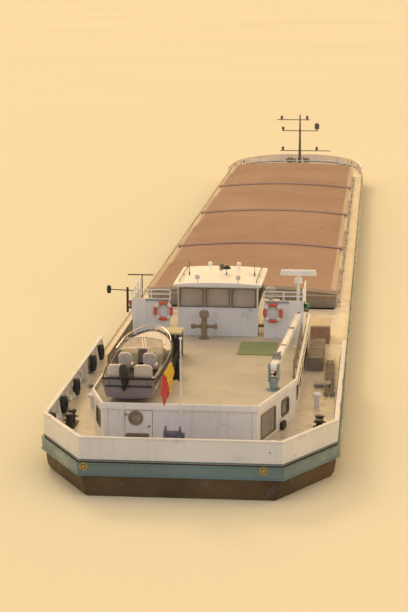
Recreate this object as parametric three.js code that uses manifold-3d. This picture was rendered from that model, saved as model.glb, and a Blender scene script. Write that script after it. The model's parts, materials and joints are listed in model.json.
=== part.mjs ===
// River barge with a single hold, arched sliding hatch covers and the wheelhouse aft.
// Scale model at 1:10, in millimetres. +Y is the bow, +X is starboard, +Z is up.
// The origin is on the flat bottom, half way along the hull and on its middle line.
import * as THREE from "three";
import { mergeVertices } from "three/addons/utils/BufferGeometryUtils.js";
import Module from "manifold-3d";

const wasm = await Module();
wasm.setup();

// Millimetres of the model to one metre of the real barge
const M = 100;
const LENGTH = 80 * M;
const BEAM = 9.5 * M;
const DECK = 3.0 * M;
// Seat between pieces that rest on each other, and the least room round a moving piece
const SEAT = 0.3;
const CLEAR = 5.5;
// How far outside its wall a door's hinge pin stands
const HINGE_OUT = 1.5;

const station = (metres) => metres * M - LENGTH / 2;

// Hull sections from the transom to the stem, in metres. deckHalf and bilgeHalf are half breadths
// at the deck and at the top of the bilge, keel and deck are heights, bilge is the corner's radius.
const STRAKE = 0.07;
const SECTION_COLUMNS = ["y", "deckHalf", "bilgeHalf", "keel", "bilge", "deck"];
const AFT_SECTIONS = [
  [STRAKE, 3.1, 2.95, 1.8, 0.3, 3.0],
  [2.85, 4.68, 4.6, 1.8, 0.4, 3.0],
  [6.2, 4.68, 4.68, 1.8, 0.45, 3.0],
  [8.2, 4.68, 4.68, 1.05, 0.45, 3.0],
  [10.2, 4.68, 4.68, 0.3, 0.45, 3.0],
  [12.0, 4.68, 4.68, 0.0, 0.45, 3.0],
  [23.9, 4.68, 4.68, 0.0, 0.45, 3.0],
];
const HOLD_SECTIONS = [
  [23.9, 4.68, 4.68, 0.0, 0.45, 3.0],
  [71.6, 4.68, 4.68, 0.0, 0.45, 3.0],
];
const BOW_SECTIONS = [
  [71.6, 4.68, 4.68, 0.0, 0.45, 3.0],
  [74.0, 4.6, 4.4, 0.0, 0.45, 3.0],
  [76.0, 4.35, 3.75, 0.08, 0.5, 3.0],
  [77.6, 3.8, 2.75, 0.4, 0.5, 3.0],
  [78.7, 3.05, 1.75, 0.95, 0.45, 3.0],
  [79.4, 2.25, 0.95, 1.55, 0.35, 3.0],
  [80 - STRAKE, 1.2, 0.4, 2.2, 0.2, 3.0],
];

const HOLD = { aft: station(24.3), fore: station(71.2), half: 4.0 * M, floor: 0.45 * M };
const COAMING = {
  aft: station(24.6), fore: station(71.4), half: 4.1 * M, thick: 0.22 * M, top: DECK + 0.62 * M,
};
const COVER = { count: 8, rise: 0.22 * M, thick: 0.06 * M, half: 3.98 * M, lip: 3, skirt: 0.05 * M };
const ENGINE_ROOM = { aft: station(11.4), fore: station(16.2), half: 1.6 * M, floor: 0.4 * M };
const SHAFT = { z: 0.92 * M, radius: 0.08 * M, propeller: 0.72 * M, y: station(5.5) };
const NOZZLE = { outer: 0.86 * M, inner: 0.775 * M, aft: station(5.0), fore: station(5.95) };
const RUDDER = {
  x: 0.4 * M, y: station(4.15), low: 0.12 * M, high: 1.66 * M, ahead: 0.32 * M, astern: 0.88 * M,
  thick: 0.14 * M, stock: 0.09 * M,
};
// The house in plan, in metres: each corner of its aft wall, and where the side wall starts there
const HOUSE = {
  aft: 1.98, fore: 16.6, half: 3.2, wall: 0.08,
  starboard: { corner: 2.19, side: 5.67 }, port: { corner: 2.63, side: 3.76 },
  top: DECK + 1.17 * M, roof: 0.06 * M, overhang: 0.06,
};
const ROOF_TOP = HOUSE.top + SEAT + HOUSE.roof;
const RAILING = {
  x: 3.12 * M, aft: station(6.3), fore: station(12.2), high: 0.64 * M,
  posts: 5, post: 0.026 * M, rail: 0.02 * M,
};
const WHEELHOUSE = {
  aft: station(12.65), fore: station(15.85), half: 1.48 * M, wall: 0.06 * M,
  sill: DECK + 2.33 * M, head: DECK + 3.02 * M, eave: DECK + 3.11 * M,
};
const WING = {
  half: 3.16 * M, aft: station(12.42), fore: station(15.9), top: DECK + 2.65 * M, wall: 0.04 * M,
};
// The belt stands upright up to a slope of the hull's side, and follows a share of the slope past that
const BELT = { low: -0.45 * M, high: -0.05 * M, upright: 0.3, follow: 0.6 };
const BULWARK = { high: 0.75 * M, thick: 0.05 * M, end: 14.7, rail: 0.12 * M, railHigh: 0.05 * M };
const BOW_BULWARK = { start: 72.6, low: 0.5 * M, high: 0.56 * M };
const CRANE = {
  x: 2.55 * M, y: station(4.6), heading: -4, rise: 2.8, reach: 7.0 * M,
  pivot: DECK + 1.98 * M, pillarTop: DECK + 1.5 * M,
};
const BOAT = { x: -1.87 * M, aft: station(2.35), fore: station(8.6), keel: 0.12 * M };
// Anchor at the bow: middle of its face, its turn forward from abeam, and its lean with the flare
const ANCHOR = { x: 3.36 * M, y: station(77.3), z: DECK - 1.15 * M, heading: 0.35, lean: 0.4 };
const MAST = {
  x: 0.2 * M, y: station(75.9), foot: DECK + 0.5 * M, top: DECK + 3.8 * M,
  radius: 0.11 * M, tip: 0.045 * M, pin: 0.035 * M, arm: 0.03 * M,
};
// Cross arms of the mast: height over its hinge, and how far each reaches to port and to starboard
const MAST_ARMS = [[0.74, -1.4, 2.2], [2.16, -1.27, 1.27], [2.94, -1.6, 0.7]];
const RADAR = { x: 2.9 * M, y: station(13.9), z: DECK + 3.34 * M, span: 1.34 * M };
// Window places in the side walls: middle in metres from the transom
const SIDE_WINDOWS = [7.0, 8.9, 10.8, 12.7, 14.6];
const HOUSE_WINDOW = { long: 0.85 * M, low: DECK + 0.42 * M, high: DECK + 0.92 * M };
const DECK_DOOR = { left: -1.95 * M, right: -1.08 * M, low: DECK + 0.1 * M, high: DECK + 1.12 * M };
const PORTLIGHT = { along: 0.39, up: 0.76, radius: 0.18 * M };
const SIDE_DOOR = {
  aft: station(12.85), fore: station(13.6), low: ROOF_TOP + 0.08 * M, high: WHEELHOUSE.head,
};
const LUFF = { base: [0.26, -0.3], eye: [1.5, -0.16], barrel: 0.05 * M, rod: 0.027 * M, long: 1.0 * M };
const BOOM_PIN = { radius: 0.04 * M, half: 0.19 * M };
// Ship's boat: half breadth at the gunwale and at the chine, keel height and gunwale height along it
const BOAT_COLUMNS = ["along", "gunwale", "chine", "keel", "top"];
const BOAT_SECTIONS = [
  [0.0, 0.82, 0.55, 0.0, 0.7],
  [0.3, 0.92, 0.64, 0.0, 0.72],
  [0.6, 0.93, 0.6, 0.02, 0.76],
  [0.82, 0.76, 0.36, 0.12, 0.83],
  [0.95, 0.42, 0.12, 0.34, 0.9],
  [1.0, 0.16, 0.05, 0.55, 0.93],
];
const FLAG = {
  x: -0.18 * M, y: station(1.84), high: DECK + 3.45 * M, top: DECK + 3.1 * M, low: DECK + 1.45 * M,
};
// Bollards: place on the deck, in metres from the middle line and from the transom
const BOLLARDS = {
  aft_port: [-4.05, 4.2], aft_starboard: [4.05, 4.2], bow_port: [-3.3, 74.6], bow_starboard: [3.3, 74.6],
};
// Boxes on the deck and the mat on the roof: the low and the high corner in plan, and the heights
const DECK_BOX = { low: [3.33, 12.6], high: [3.88, 16.0], top: 0.5 };
const DECK_LOCKER = { low: [2.55, 17.35], high: [4.0, 18.95], top: 0.67, lid: 0.04, lidTop: 0.74 };
const MAT = { low: [0.95, 9.6], high: [2.3, 11.7], thick: 2 };
const ROOF_LOCKER = {
  x: -1.42 * M, y: station(9.2), wide: 0.95, long: 0.9, lid: 0.025, low: 0.84, high: 0.93,
};

const PAINT = {
  white: [0xe9e8e4, 0.45, 0.0],
  blue: [0x2f6a8c, 0.4, 0.0],
  black: [0x1c1d20, 0.5, 0.0],
  brown: [0x54483c, 0.5, 0.0],
  hatch: [0x8c3a2c, 0.6, 0.0],
  coaming: [0x5b5a48, 0.6, 0.0],
  cream: [0xdccfae, 0.6, 0.0],
  grey: [0x8d9296, 0.55, 0.1],
  green: [0x3f7a4c, 0.9, 0.0],
  orange: [0xd2452a, 0.5, 0.0],
  bronze: [0xb08d4a, 0.35, 0.9],
  steel: [0xb8bcc0, 0.3, 0.9],
  glass: [0x2b3a48, 0.08, 0.0],
  flag: [0xd8b020, 0.9, 0.0],
};

function material(name) {
  const [color, roughness, metalness] = PAINT[name];
  return new THREE.MeshStandardMaterial({ color, roughness, metalness });
}

// Solids and their booleans

function toSolid(geometry) {
  const bare = geometry.clone();
  bare.deleteAttribute("normal");
  bare.deleteAttribute("uv");
  const merged = mergeVertices(bare, 1e-4);
  const vertProperties = new Float32Array(merged.attributes.position.array);
  const triVerts = new Uint32Array(merged.index.array);
  return new wasm.Manifold(new wasm.Mesh({ numProp: 3, vertProperties, triVerts }));
}

function toGeometry(solid) {
  const mesh = solid.getMesh();
  const geometry = new THREE.BufferGeometry();
  geometry.setAttribute("position", new THREE.BufferAttribute(new Float32Array(mesh.vertProperties), 3));
  geometry.setIndex(new THREE.BufferAttribute(new Uint32Array(mesh.triVerts), 1));
  return geometry;
}

function join(...geometries) {
  return toGeometry(geometries.map(toSolid).reduce((whole, piece) => whole.add(piece)));
}

function cut(geometry, ...tools) {
  return toGeometry(tools.map(toSolid).reduce((whole, tool) => whole.subtract(tool), toSolid(geometry)));
}

// A box between two corners
function block(low, high) {
  const size = high.map((value, axis) => value - low[axis]);
  const middle = high.map((value, axis) => (value + low[axis]) / 2);
  return new THREE.BoxGeometry(...size).translate(...middle);
}

// A block that is the same on both sides of the middle line
function centred(half, yLow, yHigh, zLow, zHigh) {
  return block([-half, yLow, zLow], [half, yHigh, zHigh]);
}

// An outline pushed along an axis: outlines are (x, y) along z, (x, z) along y, (y, z) along x
function prism(outline, low, high, axis = "z") {
  const shape = new THREE.Shape(outline.map(([a, b]) => new THREE.Vector2(a, b)));
  const geometry = new THREE.ExtrudeGeometry(shape, { depth: high - low, bevelEnabled: false });
  const turn = new THREE.Matrix4();
  if (axis === "x") turn.makeBasis(...[[0, 1, 0], [0, 0, 1], [1, 0, 0]].map((v) => new THREE.Vector3(...v)));
  if (axis === "y") turn.makeBasis(...[[1, 0, 0], [0, 0, 1], [0, -1, 0]].map((v) => new THREE.Vector3(...v)));
  geometry.applyMatrix4(turn);
  const shift = { x: [low, 0, 0], y: [0, high, 0], z: [0, 0, low] }[axis];
  return geometry.translate(...shift);
}

// A round bar between two points
function rod(from, to, radius, sides = 12, endRadius = radius) {
  const start = new THREE.Vector3(...from);
  const way = new THREE.Vector3(...to).sub(start);
  const geometry = new THREE.CylinderGeometry(endRadius, radius, way.length(), sides);
  geometry.translate(0, way.length() / 2, 0);
  const turn = new THREE.Quaternion().setFromUnitVectors(new THREE.Vector3(0, 1, 0), way.clone().normalize());
  return geometry.applyQuaternion(turn).translate(...from);
}

// Rings of equal point counts skinned into one closed body, or into a loop
function loft(rings, looped = false) {
  const count = rings[0].length;
  const position = rings.flat(2);
  const index = [];
  const steps = looped ? rings.length : rings.length - 1;
  for (let ring = 0; ring < steps; ring += 1) {
    const next = (ring + 1) % rings.length;
    for (let point = 0; point < count; point += 1) {
      const after = (point + 1) % count;
      const [a, b] = [ring * count + point, ring * count + after];
      const [c, d] = [next * count + point, next * count + after];
      index.push(a, b, d, a, d, c);
    }
  }
  if (!looped) {
    const last = (rings.length - 1) * count;
    for (let point = 1; point < count - 1; point += 1) {
      index.push(0, point + 1, point);
      index.push(last, last + point, last + point + 1);
    }
  }
  const geometry = new THREE.BufferGeometry();
  geometry.setAttribute("position", new THREE.BufferAttribute(new Float32Array(position), 3));
  geometry.setIndex(index);
  if (toSolid(geometry).volume() < 0) {
    for (let tri = 0; tri < index.length; tri += 3) {
      [index[tri], index[tri + 1]] = [index[tri + 1], index[tri]];
    }
    geometry.setIndex(index);
  }
  return geometry;
}

// Points of a path in plan moved sideways to its right, with mitred corners
function offsetPath(path, distance, looped = false) {
  const count = path.length;
  const side = (from, to) => {
    const length = Math.hypot(to[0] - from[0], to[1] - from[1]);
    return [(to[1] - from[1]) / length, -(to[0] - from[0]) / length];
  };
  return path.map((point, i) => {
    const before = looped ? path[(i + count - 1) % count] : path[Math.max(i - 1, 0)];
    const after = looped ? path[(i + 1) % count] : path[Math.min(i + 1, count - 1)];
    const first = before === point ? side(point, after) : side(before, point);
    const second = after === point ? first : side(point, after);
    const share = 1 + first[0] * second[0] + first[1] * second[1];
    return [
      point[0] + (distance * (first[0] + second[0])) / share,
      point[1] + (distance * (first[1] + second[1])) / share,
      point[2],
    ];
  });
}

// A wall or rail that follows a path in plan, between two offsets, from low to high over the path.
// Heights are one number, or a function of the place along Y.
function bandAlong(path, offsets, low, high, looped = false) {
  const [inner, outer] = offsets.map((distance) => offsetPath(path, distance, looped));
  const over = (height, i) => path[i][2] + (typeof height === "function" ? height(path[i][1]) : height);
  return loft(path.map((_, i) => [
    [inner[i][0], inner[i][1], over(low, i)],
    [outer[i][0], outer[i][1], over(low, i)],
    [outer[i][0], outer[i][1], over(high, i)],
    [inner[i][0], inner[i][1], over(high, i)],
  ]), looped);
}

// Hull

function sectionRing(row) {
  const section = Object.fromEntries(SECTION_COLUMNS.map((name, i) => [name, row[i] * M]));
  const y = section.y - LENGTH / 2;
  const steps = 4;
  const half = [];
  for (let step = 0; step <= steps; step += 1) {
    const angle = (Math.PI / 2) * (step / steps);
    half.push([
      section.bilgeHalf - section.bilge + section.bilge * Math.sin(angle),
      section.keel + section.bilge - section.bilge * Math.cos(angle),
    ]);
  }
  half.push([section.deckHalf, section.deck]);
  const mirrored = half.map(([x, z]) => [-x, z]).reverse();
  return [...half, ...mirrored].map(([x, z]) => [x, y, z]);
}

function hullLoft(sections) {
  return loft(sections.map(sectionRing));
}

// The edge of the deck as a path in plan with its height, from port aft round the stern or bow
function deckEdge(sections, ends) {
  const side = sections.map((row) => [row[1] * M, row[0] * M - LENGTH / 2, row[5] * M]);
  const mirrored = side.map(([x, y, z]) => [-x, y, z]);
  return ends === "stern" ? [...mirrored.reverse(), ...side] : [...side, ...mirrored.reverse()];
}

function hullAft() {
  const skeg = prism([
    [station(6.15), 0.62 * M], [station(6.15), 1.2 * M], [station(6.9), 1.9 * M], [station(12.4), 0.6 * M],
    [station(12.4), 0.02 * M], [station(7.6), 0.02 * M],
  ], -0.18 * M, 0.18 * M, "x");
  const sternTube = rod([0, station(6.05), SHAFT.z], [0, station(7.6), SHAFT.z], 0.22 * M, 16);
  const shaftBore = rod([0, station(6), SHAFT.z], [0, station(6.9), SHAFT.z], SHAFT.radius + 0.5, 16);
  const { half, aft, fore, floor } = ENGINE_ROOM;
  const engineRoom = centred(half, aft, fore, floor, DECK + 1);
  const stockBores = [-1, 1].map((side) => rod(
    [side * RUDDER.x, RUDDER.y, 1.7 * M], [side * RUDDER.x, RUDDER.y, 2.1 * M], RUDDER.stock + 0.5, 12,
  ));
  return cut(join(hullLoft(AFT_SECTIONS), skeg, sternTube), shaftBore, engineRoom, ...stockBores);
}

function hullHold() {
  return cut(hullLoft(HOLD_SECTIONS), centred(HOLD.half, HOLD.aft, HOLD.fore, HOLD.floor, DECK + 1));
}

function rubbingStrake() {
  const line = (z) => {
    const side = [...AFT_SECTIONS, ...BOW_SECTIONS].map(([y, deckHalf, bilgeHalf, keel, bilge, deck]) => {
      const flare = (deckHalf - bilgeHalf) / (deck - keel - bilge);
      const slope = BELT.follow * Math.max(flare - BELT.upright, 0);
      return [deckHalf * M + slope * z, station(y), deck * M + z];
    });
    return [...side, ...side.map(([x, y, height]) => [-x, y, height]).reverse()];
  };
  const edges = [[BELT.low, SEAT], [BELT.low, STRAKE * M], [BELT.high, STRAKE * M], [BELT.high, SEAT]]
    .map(([z, distance]) => offsetPath(line(z), distance, true));
  return loft(edges[0].map((_, i) => edges.map((edge) => edge[i])), true);
}

// An anchor housed against the flared bow, drawn with its shank along X and its face at the origin
function anchor() {
  const outline = [[0.1, -0.3], [0.42, -0.24], [0.24, 0.22], [0.12, 0.24]];
  const flukes = [-1, 1].map((side) => prism(
    outline.map(([y, z]) => [side * y * M, z * M]), -0.02 * M, 0.05 * M, "x",
  ));
  return join(
    block([-0.05 * M, -0.3 * M, -0.34 * M], [0.1 * M, 0.3 * M, -0.2 * M]),
    block([-0.03 * M, -0.06 * M, -0.3 * M], [0.07 * M, 0.06 * M, 0.4 * M]),
    rod([-0.3 * M, 0, 0.38 * M], [0.03 * M, 0, 0.38 * M], 0.16 * M, 16),
    ...flukes,
  );
}

function hullBow() {
  const { x, y, z, heading, lean } = ANCHOR;
  const starboard = anchor().rotateY(lean).rotateZ(heading).translate(x, y, z);
  return join(hullLoft(BOW_SECTIONS), starboard, toGeometry(toSolid(starboard).mirror([1, 0, 0])));
}

function bulwark(path, high) {
  const plate = bandAlong(path, [-BULWARK.thick, 0], SEAT, (y) => high(y) - BULWARK.railHigh / 2);
  const rail = bandAlong(path, [-BULWARK.rail, 0.02 * M], (y) => high(y) - BULWARK.railHigh, high);
  return [plate, rail];
}

function bulwarkAft() {
  const rows = AFT_SECTIONS.filter((row) => row[0] < BULWARK.end);
  const path = deckEdge([...rows, [BULWARK.end, 4.68, 4.68, 0, 0.45, 3.0]], "stern");
  const freeingPorts = [4.5, 7.5, 10.5, 13.0].map((y) => centred(
    BEAM, station(y), station(y + 0.8), DECK - 1, DECK + 0.14 * M,
  ));
  return cut(join(...bulwark(path, () => BULWARK.high)), ...freeingPorts);
}

function bulwarkBow() {
  const { start, low, high } = BOW_BULWARK;
  const path = deckEdge([[start, 4.65, 4.6, 0, 0.45, 3.0], ...BOW_SECTIONS.slice(1)], "bow");
  const sheer = (y) => low + (high - low) * ((y - station(start)) / (station(80) - station(start))) ** 2;
  return join(...bulwark(path, sheer));
}

// Hold

// An arch over the hold between two half widths: its outline in x and z, counted from z
function archLine(half, z, rise, steps = 10) {
  const points = [];
  for (let step = 0; step <= steps; step += 1) {
    const x = -half + (2 * half * step) / steps;
    points.push([x, z + rise * (1 - (x / half) ** 2)]);
  }
  return points;
}

function hatchCoaming() {
  const { aft, fore, half, thick, top } = COAMING;
  const low = DECK + SEAT;
  const frame = cut(
    centred(half, aft, fore, low, top),
    centred(half - thick, aft + thick, fore - thick, low - 1, top + 1),
  );
  const gableLine = archLine(COVER.half - CLEAR, top - 2, COVER.rise - CLEAR + 2);
  const gable = [[COVER.half - CLEAR, low], ...gableLine.reverse(), [-COVER.half + CLEAR, low]];
  return join(frame, prism(gable, aft, aft + thick, "y"), prism(gable, fore - thick, fore, "y"));
}

// One arched cover, drawn from y = 0 forward. The upper ones reach down outside the lower ones.
function hatchCover(length, upper) {
  const half = upper ? COVER.half + CLEAR + COVER.thick : COVER.half;
  const lift = upper ? COVER.thick + CLEAR : 0;
  const top = archLine(half, COVER.thick + lift, COVER.rise);
  const under = archLine(half - COVER.skirt, lift, COVER.rise - 0.5).reverse();
  const foot = [[half, 0], [half - COVER.skirt, 0]];
  const outline = [...top, ...foot, ...under, ...foot.map(([x, z]) => [-x, z]).reverse()];
  return prism(outline, 0, length, "y");
}

// Stern gear

function propeller() {
  const { z, y, radius } = SHAFT;
  const hub = rod([0, y - 0.16 * M, z], [0, y + 0.2 * M, z], 0.15 * M, 16, 0.17 * M);
  const cone = rod([0, y - 0.3 * M, z], [0, y - 0.16 * M, z], 0.05 * M, 16, 0.15 * M);
  const shaft = rod([0, y, z], [0, station(6.85), z], radius, 16);
  const outline = [
    [-0.1, 0.1], [0.1, 0.1], [0.27, 0.42], [0.24, 0.62], [0.06, 0.715], [-0.14, 0.69], [-0.28, 0.45],
  ];
  const blades = [];
  for (let blade = 0; blade < 4; blade += 1) {
    const geometry = prism(outline.map(([a, b]) => [a * M, b * M]), -0.025 * M, 0.025 * M, "y");
    geometry.rotateZ(0.5).rotateY((blade * Math.PI) / 2);
    blades.push(geometry.translate(0, y, z));
  }
  return join(hub, cone, shaft, ...blades);
}

function nozzle() {
  const { outer, inner, aft, fore } = NOZZLE;
  const profile = [
    [inner + 1, 0], [outer - 2, 0], [outer, 20], [outer, fore - aft - 8], [outer - 4, fore - aft],
    [inner + 4, fore - aft], [inner, fore - aft - 20], [inner, 30], [inner + 1, 0],
  ].map(([x, y]) => new THREE.Vector2(x, y));
  const ring = new THREE.LatheGeometry(profile, 40).translate(0, aft, SHAFT.z);
  const head = centred(0.3 * M, aft + 8, fore - 8, SHAFT.z + inner + 3, 1.8 * M - SEAT);
  return join(ring, head);
}

// A rudder drawn round its stock at the origin
function rudder() {
  const { low, high, ahead, astern, thick, stock } = RUDDER;
  const blade = prism([
    [0, ahead], [thick / 2, ahead * 0.55], [thick / 2, 0], [0.3 * thick, -astern * 0.55],
    [0.1 * thick, -astern], [-0.1 * thick, -astern],
    [-0.3 * thick, -astern * 0.55], [-thick / 2, 0], [-thick / 2, ahead * 0.55],
  ], low, high);
  const plates = [low, high - 3].map((z) => block([-thick, -astern, z], [thick, ahead * 0.8, z + 3]));
  return join(blade, ...plates, rod([0, 0, high - 2], [0, 0, 2.05 * M], stock, 12));
}

// Houses

function houseOutline(grow) {
  const { aft, fore, half, starboard, port } = HOUSE;
  const plan = [
    [starboard.corner, aft], [half, starboard.side], [half, fore],
    [-half, fore], [-half, port.side], [-port.corner, aft],
  ];
  return offsetPath(plan.map(([x, y]) => [x * M, station(y)]), grow * M, true);
}

// A window in the slanted wall of one side, at a share of its length
function chamferWindow(side, share) {
  const { corner, side: start } = side > 0 ? HOUSE.starboard : HOUSE.port;
  const [from, to] = [new THREE.Vector2(corner, HOUSE.aft), new THREE.Vector2(HOUSE.half, start)];
  const middle = from.clone().lerp(to, share).multiplyScalar(M);
  const angle = Math.atan2(to.y - from.y, to.x - from.x);
  const tool = new THREE.BoxGeometry(0.7 * M, 0.6 * M, HOUSE_WINDOW.high - HOUSE_WINDOW.low);
  tool.rotateZ(side * angle);
  return tool.translate(side * middle.x, middle.y - LENGTH / 2, (HOUSE_WINDOW.high + HOUSE_WINDOW.low) / 2);
}

function houseWalls() {
  const shell = cut(
    prism(houseOutline(0), DECK + SEAT, HOUSE.top),
    prism(houseOutline(-HOUSE.wall), DECK - 1, HOUSE.top + 1),
  );
  const { long, low, high } = HOUSE_WINDOW;
  const windows = SIDE_WINDOWS.map(
    (y) => centred(BEAM / 2, station(y) - long / 2, station(y) + long / 2, low, high),
  );
  const aft = station(HOUSE.aft);
  const door = DECK_DOOR;
  const doorway = block([door.left, aft - 5, door.low], [door.right, aft + 15, door.high]);
  return cut(shell, ...windows, chamferWindow(1, 0.72), chamferWindow(-1, 0.5), doorway);
}

function houseRoof() {
  return prism(houseOutline(HOUSE.overhang), HOUSE.top + SEAT, ROOF_TOP);
}

// Posts and three rails along one edge of the roof
function roofRailing() {
  const { aft, fore, high, posts, post, rail } = RAILING;
  const pitch = (fore - aft) / (posts - 1);
  const uprights = Array.from({ length: posts }, (_, i) => aft + i * pitch)
    .map((y) => rod([0, y, ROOF_TOP + SEAT], [0, y, ROOF_TOP + high + 1], post, 8));
  const rails = [1, 0.6, 0.2].map((share) => ROOF_TOP + share * high)
    .map((z) => rod([0, aft, z], [0, fore, z], rail, 8));
  return join(...uprights, ...rails);
}

function roofLocker() {
  const { wide, long, lid, low, high } = ROOF_LOCKER;
  const box = (grow, from, to) => centred(
    (wide / 2 + grow) * M, (-long / 2 - grow) * M, (long / 2 + grow) * M, from * M, to * M,
  );
  return join(box(0, 0, low + 0.01), box(lid, low, high));
}

// The companion door in the aft wall, drawn from its hinge at the origin
function deckDoor() {
  const width = DECK_DOOR.right - DECK_DOOR.left - 1;
  const height = DECK_DOOR.high - DECK_DOOR.low - 1;
  const leaf = block([0.5, HINGE_OUT, 0.5], [width, HINGE_OUT + 6, height]);
  const [x, z] = [PORTLIGHT.along * width, PORTLIGHT.up * height];
  return cut(leaf, rod([x, -5, z], [x, 10, z], PORTLIGHT.radius, 24));
}

function wheelhouseWalls() {
  const { aft, fore, half, wall, sill, head, eave } = WHEELHOUSE;
  const shell = cut(
    centred(half, aft, fore, ROOF_TOP + SEAT, eave),
    centred(half - wall, aft + wall, fore - wall, ROOF_TOP - 1, eave + 1),
  );
  const acrossAft = [-1, 0, 1].map((pane) => block(
    [pane * 0.96 * M - 0.43 * M, aft - 5, sill], [pane * 0.96 * M + 0.43 * M, aft + 15, head],
  ));
  const acrossFore = acrossAft.map((tool) => tool.clone().translate(0, fore - aft - 10, 0));
  const sides = [[13.78, 14.68], [14.82, 15.7]].map(
    ([from, to]) => centred(BEAM / 2, station(from), station(to), sill, head),
  );
  const portPane = block([-BEAM / 2, station(12.8), sill], [0, station(13.64), head]);
  const door = SIDE_DOOR;
  const doorway = block([half - 10, door.aft, door.low], [half + 10, door.fore, door.high]);
  return cut(shell, ...acrossAft, ...acrossFore, ...sides, portPane, doorway);
}

// The panes stand just inside the walls as one band, open at the door
function wheelhouseGlass() {
  const { aft, fore, half, wall, sill, head } = WHEELHOUSE;
  const inset = wall + SEAT;
  const band = cut(
    centred(half - inset, aft + inset, fore - inset, sill - 4, head + 4),
    centred(half - inset - 2, aft + inset + 2, fore - inset - 2, sill - 5, head + 5),
  );
  return cut(band, block([0, SIDE_DOOR.aft - 8, sill - 5], [half, SIDE_DOOR.fore + 4, head + 5]));
}

function wheelhouseRoof() {
  const { aft, fore, half, eave } = WHEELHOUSE;
  const edge = half + 0.14 * M;
  const crown = archLine(edge, eave + 0.09 * M, 0.07 * M, 6);
  return prism([...crown, [edge, eave + SEAT], [-edge, eave + SEAT]], aft - 0.22 * M, fore + 0.25 * M, "y");
}

// The door in the starboard side, drawn from its hinge at the origin and reaching aft
function wheelhouseDoor() {
  const long = SIDE_DOOR.fore - SIDE_DOOR.aft - 1;
  const high = SIDE_DOOR.high - SIDE_DOOR.low - 1;
  const sill = WHEELHOUSE.sill - SIDE_DOOR.low;
  const leaf = block([-HINGE_OUT - 5, -long, 0.5], [-HINGE_OUT, -0.5, high]);
  return cut(leaf, block([-10, -long + 8, sill], [5, -8, high - 8]));
}

// The screen round one bridge wing: aft, outboard and forward sides in one plate
function wingScreen(side) {
  const { half, aft, fore, top, wall } = WING;
  const inner = WHEELHOUSE.half + 0.25 * M;
  const low = ROOF_TOP + SEAT;
  const plates = [
    block([inner, aft, low], [half, aft + wall, top]),
    block([half - wall, aft, low], [half, fore, top]),
    block([inner, fore - wall, low], [half, fore, top - 0.5 * M]),
  ];
  const gap = block([inner - 1, station(14.8), low - 1], [half + 10, fore + 10, top + 1]);
  const keep = cut(join(...plates), gap);
  return side > 0 ? keep : toGeometry(toSolid(keep).mirror([1, 0, 0]));
}

function console() {
  const fore = WHEELHOUSE.fore - WHEELHOUSE.wall - 0.08 * M;
  return prism([
    [fore, ROOF_TOP + SEAT], [fore, DECK + 2.2 * M], [fore - 0.35 * M, DECK + 2.14 * M],
    [fore - 0.75 * M, DECK + 1.98 * M], [fore - 0.6 * M, ROOF_TOP + SEAT],
  ], -0.85 * M, 0.85 * M, "x");
}

function helmChair() {
  const y = station(14.35);
  const low = ROOF_TOP + SEAT;
  return join(
    rod([0, y, low], [0, y, low + 3], 0.25 * M, 16),
    rod([0, y, low], [0, y, low + 0.5 * M], 0.06 * M, 10),
    block([-0.27 * M, y - 0.25 * M, low + 0.48 * M], [0.27 * M, y + 0.27 * M, low + 0.6 * M]),
    block([-0.25 * M, y - 0.3 * M, low + 0.5 * M], [0.25 * M, y - 0.2 * M, low + 1.15 * M]),
  );
}

function engineTrunk() {
  const [aft, fore] = [station(17.4), station(23.4)];
  return cut(
    centred(1.7 * M, aft, fore, DECK + SEAT, DECK + 0.6 * M),
    centred(1.62 * M, aft + 8, fore - 8, DECK - 1, DECK + 0.54 * M),
  );
}

function engineBlock() {
  const low = ENGINE_ROOM.floor + SEAT;
  return join(
    centred(0.55 * M, station(12.4), station(15.4), low + 0.3 * M, low + 1.7 * M),
    centred(0.75 * M, station(12.2), station(15.6), low, low + 0.31 * M),
    centred(0.35 * M, station(11.7), station(12.5), low + 0.1 * M, low + 0.95 * M),
  );
}

// Deck gear

// Two posts on one plate, drawn on the deck at the origin
function bollard() {
  const posts = [-0.28, 0.28].flatMap((y) => [
    rod([0, y * M, 1], [0, y * M, 0.42 * M], 0.11 * M, 12),
    rod([0, y * M, 0.4 * M], [0, y * M, 0.45 * M], 0.14 * M, 12),
  ]);
  return join(block([-0.2 * M, -0.5 * M, 0], [0.2 * M, 0.5 * M, 3]), ...posts);
}

function lifebuoy() {
  const [ring, tube] = [0.3 * M, 0.07 * M];
  return new THREE.TorusGeometry(ring, tube, 10, 28).rotateX(Math.PI / 2);
}

// A block between two corners in plan, grown sideways, between two heights
function deckBlock({ low, high }, grow, bottom, top) {
  return block(
    [(low[0] - grow) * M, station(low[1] - grow), bottom],
    [(high[0] + grow) * M, station(high[1] + grow), top],
  );
}

function deckBox() {
  return deckBlock(DECK_BOX, 0, DECK + SEAT, DECK + DECK_BOX.top * M);
}

function deckLocker() {
  const { top, lid, lidTop } = DECK_LOCKER;
  return join(
    deckBlock(DECK_LOCKER, 0, DECK + SEAT, DECK + top * M),
    deckBlock(DECK_LOCKER, lid, DECK + (top - 0.01) * M, DECK + lidTop * M),
  );
}

function windlass() {
  const y = station(77.3);
  const low = DECK + SEAT;
  return join(
    centred(0.9 * M, y - 0.45 * M, y + 0.45 * M, low, low + 4),
    centred(0.3 * M, y - 0.3 * M, y + 0.3 * M, low, low + 0.62 * M),
    rod([-0.85 * M, y, low + 0.4 * M], [0.85 * M, y, low + 0.4 * M], 0.1 * M, 12),
    rod([-0.75 * M, y, low + 0.4 * M], [-0.45 * M, y, low + 0.4 * M], 0.27 * M, 16),
    rod([0.45 * M, y, low + 0.4 * M], [0.75 * M, y, low + 0.4 * M], 0.27 * M, 16),
  );
}

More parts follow.
